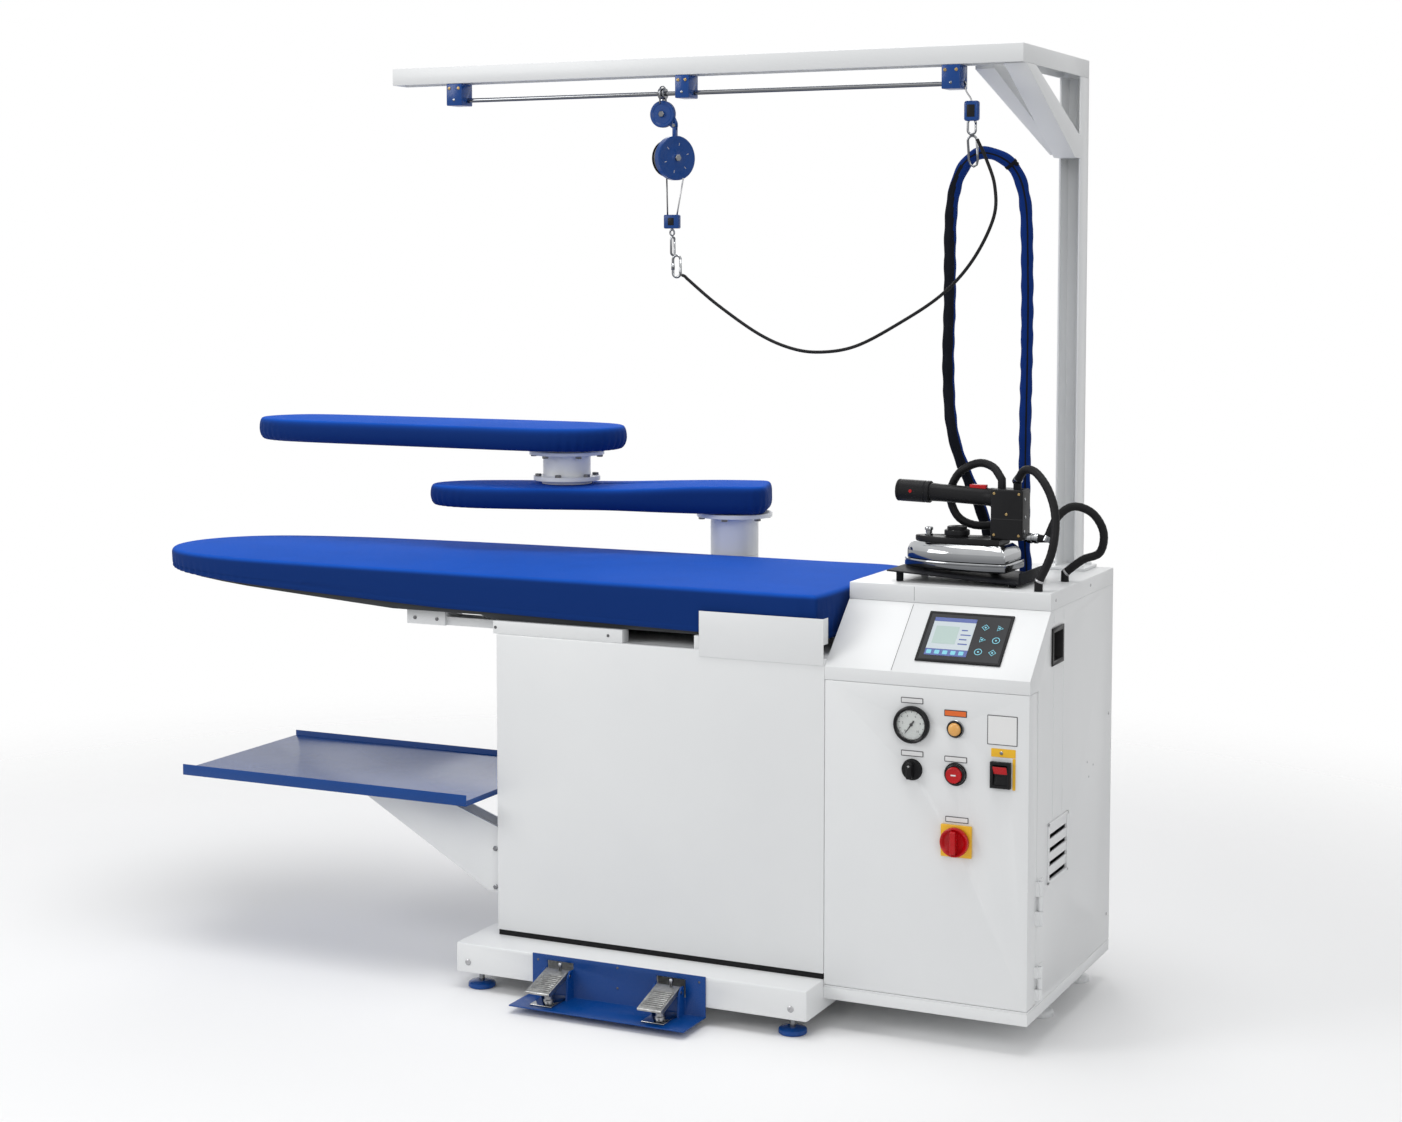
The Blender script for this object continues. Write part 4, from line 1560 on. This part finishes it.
bearing_low = LOWER_TOP + LOWER_CROWN + 2 * GAP
bearing_high = bearing_low + BEARING_HEIGHT
upper_hub_low = bearing_high + UPPER_POST_FLANGE_HEIGHT
upper_flange_top = UPPER_POST_TOP + UPPER_FLANGE_HEIGHT
upper_board_low = UPPER_BOTTOM + LAP + GAP
lower_places = ring_places(FLANGE_BOLTS, UPPER_POST_FLANGE - BOLT_HEAD - SHEET, BOLT_START)
upper_places = ring_places(FLANGE_BOLTS, UPPER_FLANGE_RADIUS - BOLT_HEAD - SHEET,
                           BOLT_START)
BEARING_BORE = 0.034
part("upper_post", WHITE,
     turned([(BEARING_BORE, upper_flange_top), (UPPER_FLANGE_RADIUS, upper_flange_top),
             (UPPER_FLANGE_RADIUS, UPPER_POST_TOP), (POST_RADIUS, UPPER_POST_TOP),
             (POST_RADIUS, upper_hub_low), (UPPER_POST_FLANGE, upper_hub_low),
             (UPPER_POST_FLANGE, bearing_high), (BEARING_RADIUS, bearing_high),
             (BEARING_RADIUS, bearing_low), (SPIGOT_BORE, bearing_low),
             (SPIGOT_BORE, LOWER_BOTTOM + LAP), (BEARING_BORE, LOWER_BOTTOM + LAP),
             (BEARING_BORE, upper_flange_top)], (0.0, 0.0, 0.0), steps=BIG_SIDES),
     add=[hexagon((x, y, upper_hub_low - SINK), (0, 0, 1), BOLT_HEAD, BOLT_HEAD_HEIGHT + SINK)
          for x, y in lower_places]
     + [hexagon((x, y, UPPER_POST_TOP + SINK), (0, 0, -1), BOLT_HEAD, BOLT_HEAD_HEIGHT + SINK)
        for x, y in upper_places],
     origin=(0.0, 0.0, bearing_low), parent=UPPER_ARM)

upper_outline = arm_outline(UPPER_SHARES, UPPER_BACK, UPPER_TIP_LENGTH, UPPER_WIDTH)
upper_spine = ((UPPER_BACK - UPPER_WIDTH / 2, 0.0), (-UPPER_TIP_LENGTH + UPPER_WIDTH / 2, 0.0))
upper_skin, upper_space = arm_frame(upper_outline, UPPER_BOTTOM, UPPER_TOP, level_arm)
part("upper_arm_frame", WHITE, upper_skin,
     add=[cylinder((0.0, 0.0, upper_flange_top + GAP), (0.0, 0.0, upper_board_low + SHEET / 2),
                   HUB_RADIUS, BIG_SIDES)],
     cut=[upper_space,
          cylinder((0.0, 0.0, upper_flange_top - OVERRUN),
                   (0.0, 0.0, upper_board_low + SHEET + OVERRUN), BEARING_BORE)],
     origin=(0.0, 0.0, UPPER_BOTTOM), parent=UPPER_ARM)
part("upper_arm_cover", BLUE_CLOTH,
     arm_cover(upper_outline, UPPER_BOTTOM, UPPER_TOP, UPPER_CROWN, upper_spine, level_arm),
     origin=(0.0, 0.0, UPPER_TOP), parent=UPPER_ARM)

# Iron and its tray.

tray_x = (TRAY_LEFT + TRAY_RIGHT) / 2
tray_half = (TRAY_RIGHT - TRAY_LEFT) / 2
tray_tilt = math.atan2(TRAY_HIGH_Z - TRAY_LOW_Z, TRAY_RIGHT - TRAY_LEFT)
tray_mid_z = (TRAY_LOW_Z + TRAY_HIGH_Z) / 2
tray_turn = Matrix.Translation((tray_x, 0.0, tray_mid_z)) @ Matrix.Rotation(tray_tilt, 4, "Y")
tray_plate = moved_by(block((-tray_half, TRAY_FRONT, -TRAY_SHEET), (tray_half, TRAY_REAR, 0.0)),
                      tray_turn)
tray_lip = moved_by(block((tray_half - TRAY_SHEET, TRAY_FRONT, -SINK),
                          (tray_half, TRAY_REAR, TRAY_LIP)), tray_turn)
tray_feet = [cylinder((x, y, LID_TOP + GAP),
                      (x, y, tray_mid_z - (x - tray_x) * math.tan(tray_tilt) - TRAY_SHEET / 2),
                      TRAY_FOOT, ROUND_SIDES)
             for x in (TRAY_LEFT + TRAY_LIP, TRAY_RIGHT - TRAY_LIP)
             for y in (TRAY_FRONT + TRAY_LIP, TRAY_REAR - TRAY_LIP)]
part("iron_tray", BLACK, tray_plate, add=[tray_lip] + tray_feet)

# Shares of the sole's length from its tip, and of its width.
SOLE_SHARES = ((0.000, 0.030), (0.040, 0.140), (0.120, 0.270), (0.260, 0.400), (0.430, 0.475),
               (0.620, 0.500), (0.850, 0.500), (0.980, 0.470), (1.000, 0.400))
SOLE_POINTS = 40
sole_length = SOLE_HEEL_X - SOLE_TIP_X


def sole_outline(inwards):
    length, width = sole_length - 2 * inwards, SOLE_WIDTH - 2 * inwards
    one_side = [(SOLE_TIP_X + inwards + along * length, IRON_Y + across * width)
                for along, across in SOLE_SHARES]
    other = [(x, 2 * IRON_Y - y) for x, y in reversed(one_side)]
    return closed_curve(one_side + other, SOLE_POINTS)


SOLE_CLEAR = 0.0008
SOLE_BEVEL = 0.003
sole_low = TRAY_HIGH_Z + SOLE_CLEAR
sole_high = sole_low + SOLE_THICKNESS
part("iron_sole", CHROME,
     lofted([at_height(sole_outline(SOLE_BEVEL), sole_low),
             at_height(sole_outline(0.0), sole_low + SOLE_BEVEL),
             at_height(sole_outline(0.0), sole_high - SOLE_BEVEL),
             at_height(sole_outline(SOLE_BEVEL), sole_high)]),
     origin=(DIAL_X, IRON_Y, sole_low))
SHELL_SWELL = 0.004
shell_low = sole_high + GAP
shell_rise = IRON_BODY_TOP - shell_low
SHELL_SHARES = ((0.10, 0.0), (0.04, 0.12), (0.04, 0.40), (0.16, 0.68), (0.34, 0.88), (0.52, 1.0))
FITTING_RADIUS = 0.011
FITTING_Z = 1.016
FITTING_X = -0.068
part("iron_shell", CHROME,
     lofted([at_height(sole_outline(SHELL_SWELL + drawn * SOLE_WIDTH / 4),
                       shell_low + up * shell_rise) for drawn, up in SHELL_SHARES]),
     origin=(DIAL_X, IRON_Y, shell_low))

plate_low = IRON_BODY_TOP + GAP
plate_high = plate_low + IRON_PLATE
half_housing = HOUSING_WIDTH / 2
grip_start = Vector((HOUSING_LEFT + SINK, IRON_Y, GRIP_Z))
GRIP_RISE = 0.006
grip_end = Vector((GRIP_LEFT + FRONT_GRIP_LENGTH - SINK, IRON_Y, GRIP_Z + GRIP_RISE))
front_end = Vector((GRIP_LEFT, IRON_Y, GRIP_Z + GRIP_RISE + GRIP_RISE / 3))
PLATE_INSET = 0.024
dial_bore = NEEDLE_HUB + RUNNING_GAP
trigger_top = GRIP_Z + GRIP_RISE / 2 + GRIP_RADIUS
slot_low = trigger_top - TRIGGER_HEIGHT - TRIGGER_TRAVEL
part("iron_handle", BLACK,
     lofted([at_height(sole_outline(PLATE_INSET), plate_low),
             at_height(sole_outline(PLATE_INSET), plate_high)]),
     add=[baked(bevel(block((HOUSING_LEFT, IRON_Y - half_housing, plate_high - SINK),
                            (HOUSING_RIGHT, IRON_Y + half_housing, HOUSING_TOP)), OVERRUN)),
          cylinder(grip_start, grip_end, GRIP_RADIUS),
          cylinder(grip_end + Vector((SINK, 0.0, 0.0)), front_end, FRONT_GRIP_RADIUS),
          cylinder((HOUSING_RIGHT - SINK, IRON_Y, FITTING_Z), (FITTING_X, IRON_Y, FITTING_Z),
                   FITTING_RADIUS, ROUND_SIDES),
          turned([(0.0, NUB_HEIGHT), (NUB_RADIUS - SHEET, NUB_HEIGHT), (NUB_RADIUS, NUB_HEIGHT - SHEET),
                  (NUB_RADIUS, -SINK), (0.0, -SINK)], (NUB_X, IRON_Y, plate_high),
                 steps=ROUND_SIDES)],
     cut=[block((TRIGGER_X - TRIGGER_LENGTH / 2 - RUNNING_GAP, IRON_Y - TRIGGER_WIDTH / 2 - RUNNING_GAP,
                 slot_low),
                (TRIGGER_X + TRIGGER_LENGTH / 2 + RUNNING_GAP, IRON_Y + TRIGGER_WIDTH / 2 + RUNNING_GAP,
                 trigger_top + GRIP_RADIUS)),
          cylinder((DIAL_X, IRON_Y, plate_low + SHEET), (DIAL_X, IRON_Y, plate_high + OVERRUN),
                   dial_bore, ROUND_SIDES)],
     origin=(DIAL_X, IRON_Y, plate_low))
part("iron_dial", BLACK,
     turned([(0.0, DIAL_HEIGHT), (DIAL_RADIUS - OVERRUN, DIAL_HEIGHT),
             (DIAL_RADIUS - SHEET, DIAL_HEIGHT - SHEET), (DIAL_RADIUS, SHEET), (DIAL_RADIUS, GAP),
             (NEEDLE_HUB, GAP), (NEEDLE_HUB, -IRON_PLATE + SHEET + GAP + GAP),
             (0.0, -IRON_PLATE + SHEET + GAP + GAP)], (DIAL_X, IRON_Y, plate_high)),
     origin=(DIAL_X, IRON_Y, plate_high))
part("iron_trigger", RED,
     baked(bevel(block((TRIGGER_X - TRIGGER_LENGTH / 2, IRON_Y - TRIGGER_WIDTH / 2,
                        slot_low + TRIGGER_TRAVEL + GAP),
                       (TRIGGER_X + TRIGGER_LENGTH / 2, IRON_Y + TRIGGER_WIDTH / 2,
                        trigger_top + TRIGGER_TRAVEL)), SINK)),
     origin=(TRIGGER_X, IRON_Y, trigger_top))

# Pedals.

plate_front = BASE_FRONT - GAP - PEDAL_PLATE_SHEET
plate_back = BASE_FRONT - GAP
floor_front = plate_front - PEDAL_FLOOR_REACH
pivot_y = plate_front - PEDAL_PIVOT_OUT
pedal_centres = [(left + right) / 2 for left, right in PEDAL_CUTS]
half_pedal = PEDAL_WIDTH / 2
EAR_GAP = 0.0008
ear_in, ear_out = half_pedal + EAR_GAP, half_pedal + EAR_GAP + EAR_SHEET
ear_cover = EAR_RADIUS / 2


def ear(x):
    """A cheek that stands on the floor plate and holds the pedal's pin."""
    return extruded("side", [
        (pivot_y - EAR_RADIUS - ear_cover, PEDAL_PLATE_BOTTOM + SINK),
        (plate_front + SINK, PEDAL_PLATE_BOTTOM + SINK), (plate_front + SINK, PEDAL_PIVOT_Z + EAR_RADIUS),
        (pivot_y, PEDAL_PIVOT_Z + EAR_RADIUS), (pivot_y - EAR_RADIUS, PEDAL_PIVOT_Z)],
        x, x + EAR_SHEET)


part("pedal_plate", BLUE_PAINT,
     block((PEDAL_PLATE_LEFT, plate_front, PEDAL_PLATE_BOTTOM), (PEDAL_PLATE_RIGHT, plate_back,
                                                                 PEDAL_PLATE_TOP)),
     add=[block((PEDAL_PLATE_LEFT, floor_front, PEDAL_PLATE_BOTTOM),
                (PEDAL_PLATE_RIGHT, plate_front + SINK, PEDAL_PLATE_BOTTOM + PEDAL_PLATE_SHEET))]
     + [ear(centre + place) for centre in pedal_centres for place in (-ear_out, ear_in)],
     cut=[block((left, plate_front - OVERRUN, PEDAL_CUT_BOTTOM),
                (right, plate_back + OVERRUN, PEDAL_CUT_TOP)) for left, right in PEDAL_CUTS]
     + [cylinder((centre - ear_out - OVERRUN, pivot_y, PEDAL_PIVOT_Z),
                 (centre + ear_out + OVERRUN, pivot_y, PEDAL_PIVOT_Z),
                 PEDAL_PIN + RUNNING_GAP, ROUND_SIDES) for centre in pedal_centres])


def pedal(name, centre):
    """A cast treadle on its pin: ribbed plate, hub and skirt."""
    axis = Vector((centre, pivot_y, PEDAL_PIVOT_Z))
    plate = [(PEDAL_HUB, PEDAL_HUB), (PEDAL_HUB, PEDAL_HUB - PEDAL_THICKNESS),
             (-PEDAL_LENGTH + PEDAL_HUB, PEDAL_HUB - PEDAL_THICKNESS),
             (-PEDAL_LENGTH, PEDAL_HUB - PEDAL_THICKNESS / 2), (-PEDAL_LENGTH, PEDAL_HUB)]
    pitch = (PEDAL_LENGTH - 2 * PEDAL_HUB) / PEDAL_RIBS
    ribs = [block((-half_pedal + PEDAL_HUB / 2, -PEDAL_LENGTH + PEDAL_HUB + i * pitch,
                   PEDAL_HUB - SINK),
                  (half_pedal - PEDAL_HUB / 2, -PEDAL_LENGTH + PEDAL_HUB + i * pitch + pitch / 2,
                   PEDAL_HUB + PEDAL_RIB_HEIGHT)) for i in range(PEDAL_RIBS)]
    treadle = fused(extruded("side", plate, -half_pedal, half_pedal), add=ribs)
    treadle = moved_by(treadle, Matrix.Rotation(PEDAL_REST_TILT, 4, "X"))
    hub = cylinder((-half_pedal, 0.0, 0.0), (half_pedal, 0.0, 0.0), PEDAL_HUB, ROUND_SIDES)
    pin = cylinder((-ear_out + GAP, 0.0, 0.0), (ear_out - GAP, 0.0, 0.0), PEDAL_PIN, ROUND_SIDES)
    tab = cylinder((PEDAL_TAB_SIDE, 0.0, 0.0), (PEDAL_TAB_SIDE, 0.0, PEDAL_TAB_HEIGHT),
                   PEDAL_TAB_RADIUS, ROUND_SIDES)
    part(name, STEEL, moved_by(fused(treadle, add=[hub, pin, tab]), Matrix.Translation(axis)),
         origin=axis)


pedal("left_pedal", pedal_centres[0])
pedal("right_pedal", pedal_centres[1])

# Hoses and the balancer's cable.

STEAM_RADIUS = 0.0135
CABLE_RADIUS = 0.0035
HOSE_RADIUS = 0.009
LID_SEAT = LID_TOP + GAP
HOUSING_SEAT = HOUSING_TOP + GAP
UP = Vector((0.0, 0.0, 1.0))
steam_route = [
    (-0.205, 0.392, LID_SEAT), (-0.214, 0.386, 0.990), (-0.232, 0.376, 1.060),
    (-0.278, 0.332, 1.211), (-0.283, 0.304, 1.360), (-0.2726, 0.280, 1.512),
    (-0.262, 0.250, 1.660), (-0.2425, 0.220, 1.741), (-0.211, 0.200, 1.794),
    (-0.168, 0.192, 1.815), (-0.116, 0.210, 1.789), (-0.097, 0.240, 1.717),
    (-0.100, 0.270, 1.560), (-0.1088, 0.300, 1.407), (-0.1235, 0.340, 1.215),
    (-0.133, 0.370, 1.010), (-0.135, 0.390, LID_SEAT)]
cable_route = [
    (-0.84311, 0.160, 1.56342), (-0.829, 0.160, 1.554), (-0.758, 0.158, 1.500),
    (-0.658, 0.154, 1.438), (-0.578, 0.150, 1.408), (-0.508, 0.146, 1.402),
    (-0.430, 0.142, 1.416), (-0.339, 0.138, 1.461), (-0.241, 0.136, 1.523),
    (-0.174, 0.136, 1.594), (-0.130, 0.136, 1.680), (-0.130, 0.142, 1.745),
    (-0.150, 0.146, 1.800), (-0.1705, 0.150, 1.840)]
left_route = [
    (-0.150, 0.268, HOUSING_SEAT), (-0.176, 0.286, 1.160), (-0.214, 0.298, 1.166),
    (-0.258, 0.304, 1.142), (-0.277, 0.305, 1.096), (-0.262, 0.307, 1.052),
    (-0.228, 0.312, 1.033), (-0.182, 0.318, 1.034),
    (-0.140, IRON_Y + half_housing + GAP, 1.042)]
front_route = [
    (-0.114, 0.262, HOUSING_SEAT), (-0.092, 0.244, 1.160), (-0.060, 0.222, 1.156),
    (-0.024, 0.196, 1.118), (-0.004, 0.172, 1.066), (-0.008, 0.160, 1.000),
    (-0.034, 0.158, LID_SEAT)]
rear_route = [
    (FITTING_X + GAP, 0.265, FITTING_Z), (-0.030, 0.273, 1.062), (0.000, 0.286, 1.084),
    (0.036, 0.302, 1.070), (0.056, 0.316, 1.030), (0.046, 0.326, 0.986),
    (0.008, 0.330, 0.968), (-0.030, 0.330, LID_SEAT)]


def cord(name, look, route, radius, resolution, spacing, first, last):
    """A hose or cable along a smooth curve, straight for one diameter at each end."""
    start, end = Vector(route[0]), Vector(route[-1])
    lead = 2 * radius
    middle = [start + first.normalized() * lead] + route[1:-1] + [end + last.normalized() * lead]
    points = [start] + smooth_path(middle, spacing * 2 * radius) + [end]
    part(name, look, tube(points, radius, resolution), origin=(0.0, 0.0, 0.0))
    length = sum((b - a).length for a, b in zip(points, points[1:]))
    print(f"{name} {length:.3f} m, {len(points)} points")


STEAM_STEP, CABLE_STEP, HOSE_STEP = 2.3, 3.0, 2.0    # between points, in diameters
CABLE_START_WAY = Vector((0.93, 0.0, -0.37))
CABLE_END_WAY = Vector((0.42, -0.08, -0.90))
cord("steam_hose", BLUE_CLOTH, steam_route, STEAM_RADIUS, 3, STEAM_STEP, UP, UP)
cord("balancer_cable", RUBBER, cable_route, CABLE_RADIUS, 1, CABLE_STEP, CABLE_START_WAY,
     CABLE_END_WAY)
cord("iron_hose_left", RUBBER, left_route, HOSE_RADIUS, 3, HOSE_STEP, UP, Vector((0.0, 1.0, 0.0)))
cord("iron_hose_front", RUBBER, front_route, HOSE_RADIUS, 3, HOSE_STEP, UP, UP)
cord("iron_hose_rear", RUBBER, rear_route, HOSE_RADIUS, 3, HOSE_STEP, Vector((1.0, 0.0, 0.0)), UP)

# The finished machine moves so that its footprint's middle is the origin.

CORDS = ("steam_hose", "balancer_cable", "iron_hose_left", "iron_hose_front",
         "iron_hose_rear")
bpy.context.view_layer.update()
graph = bpy.context.evaluated_depsgraph_get()
corners = []
for shape in PARTS.objects:
    if shape.type == "MESH" and shape.name not in CORDS:
        made = shape.evaluated_get(graph)
        corners += [made.matrix_world @ vertex.co for vertex in made.data.vertices]
low = [min(corner[axis] for corner in corners) for axis in range(3)]
high = [max(corner[axis] for corner in corners) for axis in range(3)]
shift = Vector(((low[0] + high[0]) / 2, (low[1] + high[1]) / 2, low[2]))
MACHINE.location = -shift
print("footprint middle in shop axes:", [round(value, 6) for value in shift])
print("size:", [round(b - a, 4) for a, b in zip(low, high)])
